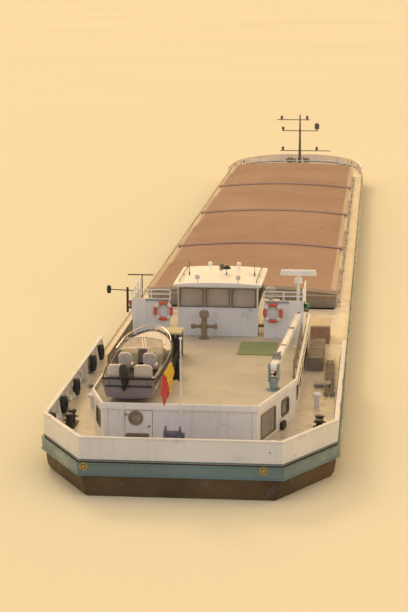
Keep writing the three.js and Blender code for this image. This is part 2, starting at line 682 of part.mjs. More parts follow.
// Folding bow mast with its cross arms, drawn from its hinge at the origin
function bowMast() {
  const high = MAST.top - MAST.foot;
  const arms = MAST_ARMS.map(
    ([z, port, starboard]) => rod([port * M, 0, z * M], [starboard * M, 0, z * M], MAST.arm, 8),
  );
  return join(
    rod([0, 0, -0.1 * M], [0, 0, high], MAST.radius, 14, MAST.tip),
    rod([-0.2 * M, 0, 0], [0.2 * M, 0, 0], MAST.pin, 8),
    ...arms,
  );
}

// Two cheeks on a plate, with the hole of the mast's hinge pin, drawn on the deck at the origin
function mastFoot() {
  const cheeks = [-1, 1].map((side) => block(
    [Math.min(side * 0.15 * M, side * 0.22 * M), -0.15 * M, 0],
    [Math.max(side * 0.15 * M, side * 0.22 * M), 0.15 * M, MAST.foot + 0.12 * M - DECK],
  ));
  const pinHeight = MAST.foot - DECK - SEAT;
  const hole = rod([-0.3 * M, 0, pinHeight], [0.3 * M, 0, pinHeight], MAST.pin + 0.4, 8);
  return cut(join(centred(0.35 * M, -0.28 * M, 0.28 * M, 0, 5), ...cheeks), hole);
}

function radarPost() {
  const { x, y, z } = RADAR;
  return join(
    rod([x, y, ROOF_TOP + SEAT], [x, y, z - 0.28 * M], 0.06 * M, 12),
    rod([x, y, z - 0.3 * M], [x, y, z - 0.1 * M], 0.16 * M, 16, 0.14 * M),
    rod([x, y, ROOF_TOP + SEAT], [x, y, ROOF_TOP + 4], 0.16 * M, 12),
  );
}

// The turning bar of the radar, drawn round its spindle
function radarScanner() {
  const half = RADAR.span / 2;
  const outline = [[-0.09, 0], [0.07, 0], [0.09, 0.05], [0.09, 0.12], [-0.07, 0.14]];
  return join(
    prism(outline.map(([y, z]) => [y * M, z * M]), -half, half, "x"),
    rod([0, 0, SEAT - 0.1 * M], [0, 0, 0.02 * M], 0.05 * M, 12),
  );
}

// Crane, drawn in its own group with the slewing axis at the origin and the boom ahead

function cranePillar() {
  const low = ROOF_TOP + SEAT;
  return join(
    rod([0, 0, low], [0, 0, low + 4], 0.26 * M, 16),
    rod([0, 0, low], [0, 0, CRANE.pillarTop], 0.15 * M, 16),
  );
}

function craneTurret() {
  const low = CRANE.pillarTop + SEAT - CRANE.pivot;
  const drum = rod([0, 0, low], [0, 0, low + 0.12 * M], 0.17 * M, 16);
  const foot = low / M + 0.02;
  const outline = [[-0.16, foot], [0.28, foot], [0.34, -0.3], [0.28, -0.2], [0.1, 0.12], [-0.1, 0.12]];
  const cheeks = [0.135, -0.175].map(
    (x) => prism(outline.map(([y, z]) => [y * M, z * M]), x * M, (x + 0.04) * M, "x"),
  );
  const pin = rod([-BOOM_PIN.half, 0, 0], [BOOM_PIN.half, 0, 0], BOOM_PIN.radius, 12);
  const base = LUFF.base.map((value) => value * M);
  const basePin = rod([-0.15 * M, ...base], [0.15 * M, ...base], 0.025 * M, 10);
  return join(drum, ...cheeks, pin, basePin);
}

function craneBoom() {
  const side = (half) => [[-half, -half], [half, -half], [half, half], [-half, half]];
  const [root, tip] = [0.11 * M, 0.08 * M];
  const beam = loft([
    side(root).map(([x, z]) => [x, 0.1 * M, z]),
    side(tip).map(([x, z]) => [x, CRANE.reach, z]),
  ]);
  const lug = rod([-root, 0, 0], [root, 0, 0], 0.12 * M, 16);
  const eyeCheeks = [-1, 1].map((s) => block(
    [Math.min(s * 4, s * 7), 1.42 * M, -0.2 * M], [Math.max(s * 4, s * 7), 1.58 * M, -0.05 * M],
  ));
  const pinHole = rod([-20, 0, 0], [20, 0, 0], BOOM_PIN.radius + 0.5, 12);
  return cut(join(beam, lug, ...eyeCheeks), pinHole);
}

// Barrel and rod lie along +Y from the barrel's pin at the origin
function luffBarrel() {
  const tube = rod([0, 5, 0], [0, LUFF.long, 0], LUFF.barrel, 14);
  const eye = rod([-3, 0, 0], [3, 0, 0], 6, 14);
  const neck = block([-3, 0, -3], [3, 8, 3]);
  const pinHole = rod([-10, 0, 0], [10, 0, 0], 0.025 * M + 0.4, 10);
  return cut(join(tube, eye, neck), rod([0, 12, 0], [0, LUFF.long + 5, 0], LUFF.rod + 0.5, 12), pinHole);
}

function luffRod(length) {
  const eye = rod([-3, length, 0], [3, length, 0], 4.5, 12);
  return join(rod([0, 0.15 * M, 0], [0, length - 2, 0], LUFF.rod, 12), eye);
}

function boomRest() {
  const reach = CRANE.reach - 0.5 * M;
  const turn = THREE.MathUtils.degToRad(-CRANE.heading);
  const x = CRANE.x + reach * Math.sin(turn);
  const y = CRANE.y + reach * Math.cos(turn);
  const under = CRANE.pivot + reach * Math.tan(THREE.MathUtils.degToRad(CRANE.rise)) - 0.087 * M;
  return join(
    rod([x, y, ROOF_TOP + SEAT], [x, y, under - 4], 0.05 * M, 10),
    block([x - 12, y - 4, under - 5], [x + 12, y + 4, under - 1]),
    rod([x, y, ROOF_TOP + SEAT], [x, y, ROOF_TOP + 3], 0.14 * M, 12),
  );
}

function boatRings(inset, lift) {
  return BOAT_SECTIONS.map((row) => {
    const part = Object.fromEntries(BOAT_COLUMNS.map((name, i) => [name, row[i]]));
    const long = BOAT.fore - BOAT.aft;
    const y = inset + part.along * (long - 2 * inset);
    const gunwale = Math.max(part.gunwale * M - inset, 2);
    const chine = Math.max(part.chine * M - inset, 1);
    const top = part.top * M + lift;
    const keel = part.keel * M + (lift ? 12 : 0);
    const rise = 0.12 * M;
    const half = [[chine * 0.3, keel], [chine, keel + rise], [gunwale, top]];
    return [...half, ...half.map(([x, z]) => [-x, z]).reverse()].map(([x, z]) => [x, y, z]);
  });
}

// Outboard motor on the boat's transom: cowl and leg
function outboard() {
  const x = -0.12 * M;
  const ring = ([z, half, deep]) => [[-half, -deep], [half, -deep], [half, deep], [-half, deep]]
    .map(([a, b]) => [x + a * M, (b - 0.14 - 0.2 * (z - 0.72)) * M, z * M]);
  const levels = [[0.72, 0.1, 0.15], [0.78, 0.14, 0.21], [1.08, 0.14, 0.21], [1.22, 0.08, 0.13]];
  const cowl = loft(levels.map(ring));
  return join(cowl, block([x - 0.07 * M, -0.2 * M, 0.34 * M], [x + 0.07 * M, 0.04 * M, 0.75 * M]));
}

function shipsBoat() {
  const outer = loft(boatRings(0, 0));
  const inner = loft(boatRings(8, 6));
  const keepFore = block([-100, 0.66 * (BOAT.fore - BOAT.aft), -10], [100, 700, 200]);
  return join(cut(outer, cut(inner, keepFore)), outboard());
}

function boatChocks() {
  const low = ROOF_TOP + SEAT;
  const bottom = ROOF_TOP + BOAT.keel - SEAT;
  const place = (share) => BOAT.aft + share * (BOAT.fore - BOAT.aft);
  const beams = [0.2, 0.6].map((share) => block(
    [BOAT.x - 0.5 * M, place(share) - 6, low], [BOAT.x + 0.5 * M, place(share) + 6, bottom],
  ));
  const rails = [-0.4 * M, 0.4 * M].map((x) => block(
    [BOAT.x + x - 4, place(0.15), low], [BOAT.x + x + 4, place(0.65), low + 5],
  ));
  return join(...beams, ...rails);
}

function flagstaff() {
  const { x, y, high } = FLAG;
  return join(
    rod([x, y, DECK + 1.0 * M], [x, y, high], 0.03 * M, 10, 0.02 * M),
    rod([x, y, high - 1], [x, y, high + 5], 0.05 * M, 10),
    block([x - 3, y, DECK + 1.02 * M], [x + 3, station(HOUSE.aft) - SEAT, DECK + 1.08 * M]),
  );
}

function ensign() {
  const x = FLAG.x - 0.03 * M - SEAT;
  return prism([
    [x, FLAG.low + 0.35 * M], [x, FLAG.top], [x - 0.2 * M, FLAG.top - 0.15 * M],
    [x - 0.62 * M, FLAG.low + 0.1 * M], [x - 0.45 * M, FLAG.low],
  ], FLAG.y - 4, FLAG.y + 4, "y");
}

function ventilator() {
  const [x, y, low] = [-0.45 * M, station(12.15), ROOF_TOP + SEAT];
  return join(
    rod([x, y, low], [x, y, low + 0.85 * M], 0.1 * M, 14),
    rod([x, y, low + 0.8 * M], [x, y, low + 1.06 * M], 0.2 * M, 16),
    rod([x - 0.5 * M, y, low + 0.46 * M], [x + 0.5 * M, y, low + 0.46 * M], 0.08 * M, 12),
    rod([x, y, low], [x, y, low + 3], 0.2 * M, 14),
  );
}

const part = new THREE.Group();

function add(name, paint, geometry, parent = part, place = [0, 0, 0]) {
  const mesh = new THREE.Mesh(geometry, material(paint));
  mesh.name = name;
  mesh.position.set(...place);
  parent.add(mesh);
  return mesh;
}

add("hull_aft", "black", hullAft());
add("hull_hold", "black", hullHold());
add("hull_bow", "black", hullBow());
add("rubbing_strake", "blue", rubbingStrake());
add("bulwark_aft", "white", bulwarkAft());
add("bulwark_bow", "white", bulwarkBow());
add("hatch_coaming", "coaming", hatchCoaming());

const slot = (COAMING.fore - COAMING.aft) / COVER.count;
for (let cover = 0; cover < COVER.count; cover += 1) {
  const upper = cover % 2 === 0;
  const length = upper ? slot + 2 * COVER.lip : slot - 2 * CLEAR + 1;
  const start = COAMING.aft + cover * slot + (slot - length) / 2;
  add(`hatch_cover_${cover + 1}`, "hatch", hatchCover(length, upper), part, [0, start, COAMING.top + 0.5]);
}

add("propeller", "bronze", propeller());
add("nozzle", "black", nozzle());
for (const [name, side] of [["port", -1], ["starboard", 1]]) {
  add(`rudder_${name}`, "black", rudder(), part, [side * RUDDER.x, RUDDER.y, 0]);
}
add("engine_block", "grey", engineBlock());
add("engine_trunk", "cream", engineTrunk());

add("aft_house_walls", "white", houseWalls());
add("aft_house_roof", "cream", houseRoof());
const doorHinge = [DECK_DOOR.left, station(HOUSE.aft) - HINGE_OUT, DECK_DOOR.low];
add("aft_house_door", "white", deckDoor(), part, doorHinge);
for (const [name, side] of [["port", -1], ["starboard", 1]]) {
  add(`roof_railing_${name}`, "grey", roofRailing(), part, [side * RAILING.x, 0, 0]);
}
add("roof_locker", "black", roofLocker(), part, [ROOF_LOCKER.x, ROOF_LOCKER.y, ROOF_TOP + SEAT]);
add("wheelhouse_walls", "white", wheelhouseWalls());
add("wheelhouse_glass", "glass", wheelhouseGlass());
add("wheelhouse_roof", "white", wheelhouseRoof());
const sideHinge = [WHEELHOUSE.half + HINGE_OUT, SIDE_DOOR.fore, SIDE_DOOR.low];
add("wheelhouse_door", "white", wheelhouseDoor(), part, sideHinge);
add("helm_console", "grey", console());
add("helm_chair", "black", helmChair());
add("wing_screen_port", "white", wingScreen(-1));
add("wing_screen_starboard", "white", wingScreen(1));
add("roof_ventilator", "black", ventilator());
add("roof_mat", "green", deckBlock(MAT, 0, ROOF_TOP + SEAT, ROOF_TOP + MAT.thick));
add("radar_post", "white", radarPost());
add("radar_scanner", "white", radarScanner(), part, [RADAR.x, RADAR.y, RADAR.z]);

const crane = new THREE.Group();
crane.position.set(CRANE.x, CRANE.y, 0);
crane.rotation.z = THREE.MathUtils.degToRad(CRANE.heading);
part.add(crane);
add("crane_pillar", "blue", cranePillar(), crane);
add("crane_turret", "blue", craneTurret(), crane, [0, 0, CRANE.pivot]);
const boom = add("crane_boom", "white", craneBoom(), crane, [0, 0, CRANE.pivot]);
boom.rotation.x = THREE.MathUtils.degToRad(CRANE.rise);
const rise = THREE.MathUtils.degToRad(CRANE.rise);
const eye = new THREE.Vector2(...LUFF.eye).rotateAround(new THREE.Vector2(), rise);
const stroke = eye.sub(new THREE.Vector2(...LUFF.base)).multiplyScalar(M);
const luff = new THREE.Group();
luff.position.set(0, LUFF.base[0] * M, CRANE.pivot + LUFF.base[1] * M);
luff.rotation.x = stroke.angle();
crane.add(luff);
add("luff_barrel", "black", luffBarrel(), luff);
add("luff_rod", "steel", luffRod(stroke.length()), luff);
add("boom_rest", "white", boomRest());

add("ships_boat", "blue", shipsBoat(), part, [BOAT.x, BOAT.aft, ROOF_TOP + BOAT.keel]);
add("boat_chocks", "grey", boatChocks());
add("flagstaff", "white", flagstaff());
add("ensign", "flag", ensign());

for (const [name, [x, y]] of Object.entries(BOLLARDS)) {
  add(`bollard_${name}`, "black", bollard(), part, [x * M, station(y), DECK + SEAT]);
}
for (const [name, x] of [["port", -1.98], ["starboard", 2.05]]) {
  add(`lifebuoy_${name}`, "orange", lifebuoy(), part, [x * M, WING.aft - 0.07 * M - SEAT, DECK + 2.2 * M]);
}
add("deck_box", "blue", deckBox());
add("deck_locker", "hatch", deckLocker());
add("windlass", "grey", windlass());
add("mast_foot", "white", mastFoot(), part, [MAST.x, MAST.y, DECK + SEAT]);
add("bow_mast", "brown", bowMast(), part, [MAST.x, MAST.y, MAST.foot]);

export default part;
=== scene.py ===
"""River barge, 1:10 scale model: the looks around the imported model.

Pieces are drawn in metres of the real barge: x to starboard, y forward from the transom, z up from
the deck. Shape.piece brings them to the model's scale.
"""
import json
import math
from contextlib import contextmanager

import bmesh
import bpy
from mathutils import Matrix, Vector
from mathutils.geometry import convex_hull_2d


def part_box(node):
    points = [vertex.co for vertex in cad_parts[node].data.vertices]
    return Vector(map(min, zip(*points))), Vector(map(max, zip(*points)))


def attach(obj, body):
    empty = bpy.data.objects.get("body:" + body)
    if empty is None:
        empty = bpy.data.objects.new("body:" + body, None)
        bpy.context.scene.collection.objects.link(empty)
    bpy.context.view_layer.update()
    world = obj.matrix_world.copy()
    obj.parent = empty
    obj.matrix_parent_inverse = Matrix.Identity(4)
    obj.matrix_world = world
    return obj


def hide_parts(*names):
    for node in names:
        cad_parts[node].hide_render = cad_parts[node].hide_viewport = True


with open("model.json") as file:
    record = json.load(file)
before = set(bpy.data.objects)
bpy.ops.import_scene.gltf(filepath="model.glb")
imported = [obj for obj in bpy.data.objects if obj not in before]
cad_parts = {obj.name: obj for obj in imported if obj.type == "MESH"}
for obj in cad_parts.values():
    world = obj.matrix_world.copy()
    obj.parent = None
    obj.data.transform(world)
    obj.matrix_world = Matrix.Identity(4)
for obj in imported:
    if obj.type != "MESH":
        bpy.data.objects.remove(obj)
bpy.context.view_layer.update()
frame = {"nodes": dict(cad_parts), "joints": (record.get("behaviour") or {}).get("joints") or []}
NODES = frame["nodes"]
JOINTS = {joint["name"]: joint for joint in frame["joints"]}

# Metres of the model to one metre of the real barge, and where its axes start
SCALE = 0.1
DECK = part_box("hull_hold")[1].z
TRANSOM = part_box("rubbing_strake")[0].y
WATERLINE = 0.19
TO_MODEL = Matrix.Translation((0, TRANSOM, DECK)) @ Matrix.Scale(SCALE, 4)
FROM_MODEL = TO_MODEL.inverted()


def span(node):
    """Lowest and highest corner of a CAD node, in barge metres."""
    low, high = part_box(node)
    return FROM_MODEL @ low, FROM_MODEL @ high


def middle_of(node):
    low, high = span(node)
    return (low + high) / 2


def pin_of(joint):
    """Where a joint sits, in barge metres."""
    return FROM_MODEL @ Vector(JOINTS[joint]["pos_m"])


# The photograph's viewpoint, zoomed in on the barge: barge metres, degrees and millimetres
CAMERA = {"place": (5.776, -51.776, 15.139), "aim": (-1.662, 24.521, 0.0), "lens": 105.4, "film": 36.0}
SUN = {"place": (-14, 30, 22), "energy": 0.7, "colour": (1.0, 0.8, 0.5), "degrees": 14}
SKY = {"astern": (0.36, 0.46, 0.62), "ahead": (1.6, 1.05, 0.42)}
FLOOR_SIZE = 120.0

# Directions, headings in degrees, and the signs of starboard and port
ACROSS, AHEAD = (1, 0, 0), (0, 1, 0)
ASTERN = 180
SIDES = {"starboard": 1, "port": -1}
BOTH = tuple(SIDES.values())

# Sizes read from the frame
BELT_LOW, BELT_HIGH = span("rubbing_strake")
SIDE = span("hull_hold")[1].x
BULWARK_TOP = span("bulwark_aft")[1].z
HOUSE_LOW, HOUSE_HIGH = span("aft_house_walls")
ROOF = span("aft_house_roof")[1].z
CABIN_LOW, CABIN_HIGH = span("wheelhouse_walls")
CABIN_TOP = span("wheelhouse_roof")[1].z - 0.03
COAMING_LOW, COAMING_HIGH = span("hatch_coaming")
COVER_FOOT = span("hatch_cover_1")[0].z
BOAT_LOW, BOAT_HIGH = span("ships_boat")
STAFF = middle_of("flagstaff")

# Hull: its welded plates, the hold's inside, the bow bulwark's lowest rail, and the yellow bitts aft
PLATE = {"long": 6.0, "high": 1.5}
HOLD = {"half": 4.0, "aft": 24.3, "fore": 71.2, "floor": -2.55}
BOW_RAIL_AFT = 0.5
BITTS = {"across": (-2.95, 2.52), "up": -0.16}
FAIRLEADS = (6.0, 9.4, 75.3, 77.2)
TYRES = {"along": (3.2, 5.4, 7.9, 11.6, 13.4), "up": 0.36}
RAIL_PIPE = 0.022

# House: where the slanted walls leave the aft wall and where the side walls start
SLANTS = {1: (2.19, 5.67), -1: (2.63, 3.76)}
# Each slanted wall's window, as a share of the wall's length
SLANT_WINDOWS = {1: 0.72, -1: 0.5}
SIDE_WINDOWS = (7.0, 8.9, 10.8, 12.7, 14.6)
WINDOW = {"long": 0.85, "slant": 0.7, "low": 0.42, "high": 0.92}
ROOF_OVERHANG = 0.06
# The door's portlight: its middle as shares of the door's width and height
PORTLIGHT = {"along": 0.39, "up": 0.76, "bolts": 0.2}

# Wheelhouse: its window band, and the middles of the aft and fore windows
GLASS = {"sill": 2.33, "head": 3.02}
CABIN_WINDOWS = (-0.96, 0.0, 0.96)
SEARCHLIGHTS = ((-0.55, 15.6, 0), (0.55, 15.6, 0), (-0.75, 12.75, ASTERN), (0.75, 12.75, ASTERN))
AERIALS = ((-1.2, 0.5), (1.25, 0.42), (0.2, 0.3))

# Hatch covers: rise of the arch, plate's thickness, skirt's thickness, how much higher the upper covers
# lie, and the room between an upper cover's end lips and the lower cover under them
COVER = {"rise": 0.22, "thick": 0.06, "skirt": 0.05, "lift": 0.115, "lip": 0.015}

# Along the boat from 0 to 1, half breadths at gunwale and chine, keel, the chine's rise, gunwale's height
BOAT_ROWS = (
    (0.0, 0.82, 0.72, 0.02, 0.07, 0.67),
    (0.12, 0.88, 0.75, 0.0, 0.08, 0.68),
    (0.35, 0.92, 0.74, 0.0, 0.11, 0.71),
    (0.58, 0.92, 0.64, 0.02, 0.17, 0.75),
    (0.74, 0.84, 0.46, 0.07, 0.24, 0.8),
    (0.86, 0.65, 0.28, 0.17, 0.3, 0.85),
    (0.94, 0.42, 0.13, 0.32, 0.36, 0.89),
    (1.0, 0.14, 0.04, 0.56, 0.4, 0.92),
)
# The boat's transom stands forward of the outboard, which is part of the solid
BOAT_TRANSOM = 2.35
BOAT_X = (BOAT_LOW.x + BOAT_HIGH.x) / 2
BOAT_LONG = BOAT_HIGH.y - BOAT_TRANSOM

# Flag: its flat size, cells of its mesh, and the light air that it hangs in
FLAG = {"high": 1.0, "long": 1.55, "columns": 42, "rows": 28, "frames": 60, "pull": (-2.0, -1.4, -9.2)}

# Lamps on the bow mast: place across from the mast, height of the arm over the hinge, size
MAST_LAMPS = (
    (-1.2, 2.16, 1.0), (1.2, 2.16, 1.9), (-1.3, 2.94, 1.0), (0.5, 2.94, 1.0), (1.2, 0.74, 1.0),
    (-1.2, 0.74, 1.0),
)

# CAD nodes that stay: material, softened edge, angle that stays sharp, nodes
KEPT = (
    ("hull", 0.03, 28, ["hull_aft", "hull_hold", "hull_bow"]),
    ("blue", 0.015, 40, ["rubbing_strake"]),
    ("bulwark", 0.015, 30, ["bulwark_aft", "bulwark_bow"]),
    ("white", 0.02, 35, ["aft_house_walls"]),
    ("cream", 0.015, 35, ["aft_house_roof"]),
    ("cream", 0.02, 35, ["engine_trunk"]),
    ("white", 0.008, 35, ["aft_house_door", "wheelhouse_door", "wing_screen_port", "wing_screen_starboard"]),
    ("white", 0.012, 35, ["wheelhouse_walls"]),
    ("white", 0.035, 35, ["wheelhouse_roof"]),
    ("white", 0.006, 35, ["radar_post", "mast_foot"]),
    ("glass", 0, 35, ["wheelhouse_glass"]),
    ("grey", 0.015, 35, ["helm_console"]),
    ("radar", 0.02, 35, ["radar_scanner"]),
    ("crane", 0.01, 30, ["crane_pillar", "crane_turret"]),
    ("white", 0.01, 30, ["crane_boom", "boom_rest", "flagstaff"]),
    ("black", 0.01, 30, ["luff_barrel"]),
    ("steel", 0.01, 30, ["luff_rod"]),
    ("grey", 0.01, 30, ["boat_chocks"]),
    ("rail", 0, 50, ["roof_railing_port", "roof_railing_starboard"]),
    ("coaming", 0.012, 35, ["hatch_coaming"]),
    ("mast", 0, 50, ["bow_mast"]),
    ("black", 0.01, 35, ["nozzle"]),
    ("black", 0.008, 35, ["rudder_port", "rudder_starboard"]),
    ("engine", 0.02, 35, ["engine_block"]),
)

# Colours in linear light
WHITE = (0.88, 0.87, 0.85)
CREAM = (0.54, 0.49, 0.4)
BLUE = (0.115, 0.2, 0.22)
SLATE = (0.15, 0.15, 0.22)
# Tone of the covers' aft and fore faces and end lips: painted light that cancels the shade on them.
END_FACES_PAINTED_LIGHT = (0.88, 0.6, 0.43)
WORN_EDGE = (0.54, 0.43, 0.31)
RUST = (0.16, 0.062, 0.026)
GRIME = (0.09, 0.075, 0.055)
SCRAPED = (0.12, 0.1, 0.085)
UNDER_WATER = (0.075, 0.035, 0.025)
DECK_WORN = (0.36, 0.3, 0.23)
HATCH_DUST = (0.43, 0.32, 0.235)
HATCH_SCUFF = (0.2, 0.11, 0.075)
# Lighter, warmer white towards the bow: painted light against the shade on the bow bulwark's inner face.
BULWARK_FORE_PAINTED_LIGHT = (0.98, 0.86, 0.68)
FLOOR = (0.84, 0.79, 0.6)
MAT_GREEN = (0.21, 0.28, 0.085)
FLAG_STRIPES = ((0.012, 0.012, 0.013), (0.78, 0.5, 0.02), (0.55, 0.03, 0.03))
# Pairs of tones that lie beside each other in clouds
# The hull's black with a brown cast: black paint, tinted as a painted reflection of the water.
HULL_BLACK_AND_REFLECTION = ((0.05, 0.026, 0.009), (0.125, 0.072, 0.024))
DECK_CREAM = ((0.57, 0.515, 0.43), (0.67, 0.605, 0.51))
HOLD_RED = ((0.2, 0.075, 0.04), (0.11, 0.06, 0.04))
HATCH_RED = ((0.335, 0.2, 0.14), (0.4, 0.25, 0.18))
COAMING_CREAM = ((0.62, 0.56, 0.45), (0.7, 0.63, 0.52))
# Darker tan on the coaming's gables: painted shade of the faces turned fore and aft.
GABLE_TAN_PAINTED_SHADE = ((0.34, 0.27, 0.19), (0.42, 0.34, 0.25))
BULWARK_WHITE = ((0.7, 0.7, 0.69), (0.78, 0.78, 0.77))

# Materials


class Finish:
    """One material: a Principled shader on object coordinates, with short calls for its nodes."""

    def __init__(self, name, roughness, metallic=0.0, coat=0.0, gloss=0.5):
        self.material = bpy.data.materials.new(name)
        self.material.use_nodes = True
        self.tree = self.material.node_tree
        self.shader = self.tree.nodes["Principled BSDF"].inputs
        self.shader["Roughness"].default_value = roughness
        self.shader["Metallic"].default_value = metallic
        self.shader["Coat Weight"].default_value = coat
        self.shader["Specular IOR Level"].default_value = gloss
        self.where = self.add("ShaderNodeTexCoord").outputs["Object"]

    def add(self, kind, **settings):
        node = self.tree.nodes.new(kind)
        for name, value in settings.items():
            setattr(node, name, value)
        return node

    def feed(self, socket, value):
        """Links a socket to another one, or gives it a constant; three numbers are a full colour."""
        if isinstance(value, bpy.types.NodeSocket):
            self.tree.links.new(value, socket)
        elif socket.type == "RGBA":
            socket.default_value = (*value, 1.0)
        else:
            socket.default_value = value

    def noise(self, size, detail, stretch=(1, 1, 1), shift=0.0):
        """Cloudy noise whose patches measure size barge metres; stretch under 1 draws them out."""
        mapping = self.add("ShaderNodeMapping")
        self.feed(mapping.inputs["Vector"], self.where)
        mapping.inputs["Location"].default_value = (shift, shift, shift)
        mapping.inputs["Scale"].default_value = [axis / (size * SCALE) for axis in stretch]
        texture = self.add("ShaderNodeTexNoise")
        texture.inputs["Scale"].default_value = 1.0
        texture.inputs["Detail"].default_value = detail
        self.feed(texture.inputs["Vector"], mapping.outputs["Vector"])
        return texture.outputs["Fac"]

    def part(self, vector, name):
        """X, Y or Z of a vector."""
        split = self.add("ShaderNodeSeparateXYZ")
        self.feed(split.inputs["Vector"], vector)
        return split.outputs[name]

    def axis(self, name):
        """The place along X, Y or Z, in barge metres."""
        start = {"X": 0.0, "Y": TRANSOM, "Z": DECK}[name]
        return self.calc("DIVIDE", self.calc("SUBTRACT", self.part(self.where, name), start), SCALE)

    def across(self):
        """The distance from the barge's middle line."""
        return self.calc("ABSOLUTE", self.axis("X"), 0.0)

    def tilt(self, name):
        """How far the surface faces along X, Y or Z, either way: 0 to 1."""
        normal = self.add("ShaderNodeNewGeometry").outputs["Normal"]
        return self.calc("ABSOLUTE", self.part(normal, name), 0.0)

    def calc(self, operation, first, second):
        node = self.add("ShaderNodeMath", operation=operation)
        self.feed(node.inputs[0], first)
        self.feed(node.inputs[1], second)
        return node.outputs[0]

    def ramp(self, value, low, high, least=0.0, most=1.0):
        """From least at low to most at high, with soft ends."""
        node = self.add("ShaderNodeMapRange", interpolation_type="SMOOTHSTEP")
        settings = {"Value": value, "From Min": low, "From Max": high, "To Min": least, "To Max": most}
        for name, setting in settings.items():
            self.feed(node.inputs[name], setting)
        return node.outputs["Result"]

    def mix(self, share, first, second):
        node = self.add("ShaderNodeMix", data_type="RGBA")
        for index, value in ((0, share), (6, first), (7, second)):
            self.feed(node.inputs[index], value)
        return node.outputs[2]

    def blend(self, value, low, high, first, second, most=1.0):
        """The first tone where value is under low, turning into the second, at most by most, at high."""
        return self.mix(self.ramp(value, low, high, 0.0, most), first, second)

    def clouded(self, clouds, tones):
        """Two tones that pass into each other with a noise."""
        return self.blend(clouds, 0.3, 0.7, *tones)

    def surface(self, tone, rough, height=None, depth=0.0, strength=0.6):
        """Closes the material: colour, roughness, and a relief with its depth in barge metres."""
        self.feed(self.shader["Base Color"], tone)
        self.feed(self.shader["Roughness"], rough)
        if height is not None:
            node = self.add("ShaderNodeBump")
            node.inputs["Strength"].default_value = strength
            node.inputs["Distance"].default_value = depth * SCALE
            self.feed(node.inputs["Height"], height)
            self.feed(self.shader["Normal"], node.outputs["Normal"])
        return self.material


def shade(colour, factor):
    return tuple(min(channel * factor, 1.0) for channel in colour)


def shades(colour, mottle):
    """A darker and a paler tone of one colour."""
    return shade(colour, 1 - mottle), shade(colour, 1 + mottle)


def weather(finish, tone, roughness, streaks, rust):
    """Dirt that runs down walls, specks of grime, and rust in small chips."""
    patches = finish.noise(0.5, 7.0, shift=3.1)
    runs = finish.noise(0.16, 3.0, (1, 1, 0.07), 1.7)
    walls = finish.ramp(finish.tilt("Z"), 0.8, 0.5)
    tone = finish.mix(finish.calc("MULTIPLY", finish.ramp(runs, 0.5, 0.8, 0.0, streaks), walls), tone, GRIME)
    tone = finish.blend(patches, 0.6, 0.8, tone, GRIME, 0.25)
    rough = finish.ramp(patches, 0.3, 0.75, roughness - 0.08, min(roughness + 0.2, 1.0))
    chips = finish.ramp(finish.noise(0.3, 9.0, shift=7.9), 0.72 - 0.14 * rust, 0.76 - 0.12 * rust)
    rough = finish.calc("MAXIMUM", rough, finish.calc("MULTIPLY", chips, 0.85))
    return finish.mix(chips, tone, RUST), rough


def on_plate(finish, tone, roughness, streaks, rust, depth=0.012):
    """Closes a paint on plate: weathered and a little wavy."""
    tone, rough = weather(finish, tone, roughness, streaks, rust)
    return finish.surface(tone, rough, finish.noise(0.7, 2.0, shift=5.0), depth)


def painted(name, colour, roughness, mottle, streaks, rust, grain=0.0, gloss=0.5):
    """Weathered paint: faded in clouds, and gritty where grain is given."""
    finish = Finish(name, roughness, gloss=gloss)
    tone = finish.clouded(finish.noise(1.8, 5.0), shades(colour, mottle))
    if not grain:
        return on_plate(finish, tone, roughness, streaks, rust)
    return finish.surface(*weather(finish, tone, roughness, streaks, rust), finish.noise(0.02, 2.0), grain)


def hull_finish():
    """Black topsides with a painted brown reflection of the water, a cream deck painted lighter forward as a
    painted sheen, and a red brown hold, with welded plates and scrapes.
    """
    finish = Finish("hull paint", 0.55)
    height, along = finish.axis("Z"), finish.axis("Y")
    seams_along = finish.ramp(finish.calc("PINGPONG", along, PLATE["long"] / 2), 0.0, 0.04)
    lifted = finish.calc("ADD", height, 0.35)
    seams_up = finish.ramp(finish.calc("PINGPONG", lifted, PLATE["high"] / 2), 0.0, 0.03)
    clouds = finish.noise(2.5, 6.0)
    # The black's brown cast is a painted reflection of the water; the black itself is the hull's paint.
    black, rough = weather(finish, finish.clouded(clouds, HULL_BLACK_AND_REFLECTION), 0.55, 0.5, 0.2)
    scrapes = finish.noise(0.35, 6.0, (1, 0.06, 1), 2.2)
    black = finish.blend(scrapes, 0.6, 0.72, black, SCRAPED, 0.6)
    black = finish.blend(height, -1.05, -1.2, black, UNDER_WATER, 0.7)
    aft = finish.clouded(clouds, DECK_CREAM)
    # Forward of the house the deck is painted 1.35 times lighter: a painted sheen of the bright sky ahead.
    fore = finish.clouded(clouds, [shade(tone, 1.35) for tone in DECK_CREAM])
    deck = finish.blend(along, 14.0, 26.0, aft, fore)
    worn = finish.noise(0.4, 8.0, shift=9.0)
    deck = finish.blend(worn, 0.56, 0.72, deck, DECK_WORN, 0.5)
    hold = finish.blend(worn, 0.4, 0.6, *HOLD_RED)
    inside = finish.ramp(finish.across(), HOLD["half"] + 0.02, HOLD["half"] + 0.01)
    for value, edge, step in (
        (along, HOLD["aft"], 0.01), (along, HOLD["fore"], -0.01), (height, HOLD["floor"], 0.01),
    ):
        inside = finish.calc("MULTIPLY", inside, finish.ramp(value, edge - 2 * step, edge - step))
    on_deck = finish.ramp(height, -0.012, -0.006)
    tone = finish.mix(inside, finish.mix(on_deck, black, deck), hold)
    rough = finish.calc("SUBTRACT", rough, finish.calc("MULTIPLY", on_deck, 0.22))
    return finish.surface(tone, rough, finish.calc("MINIMUM", seams_along, seams_up), 0.02, 0.5)


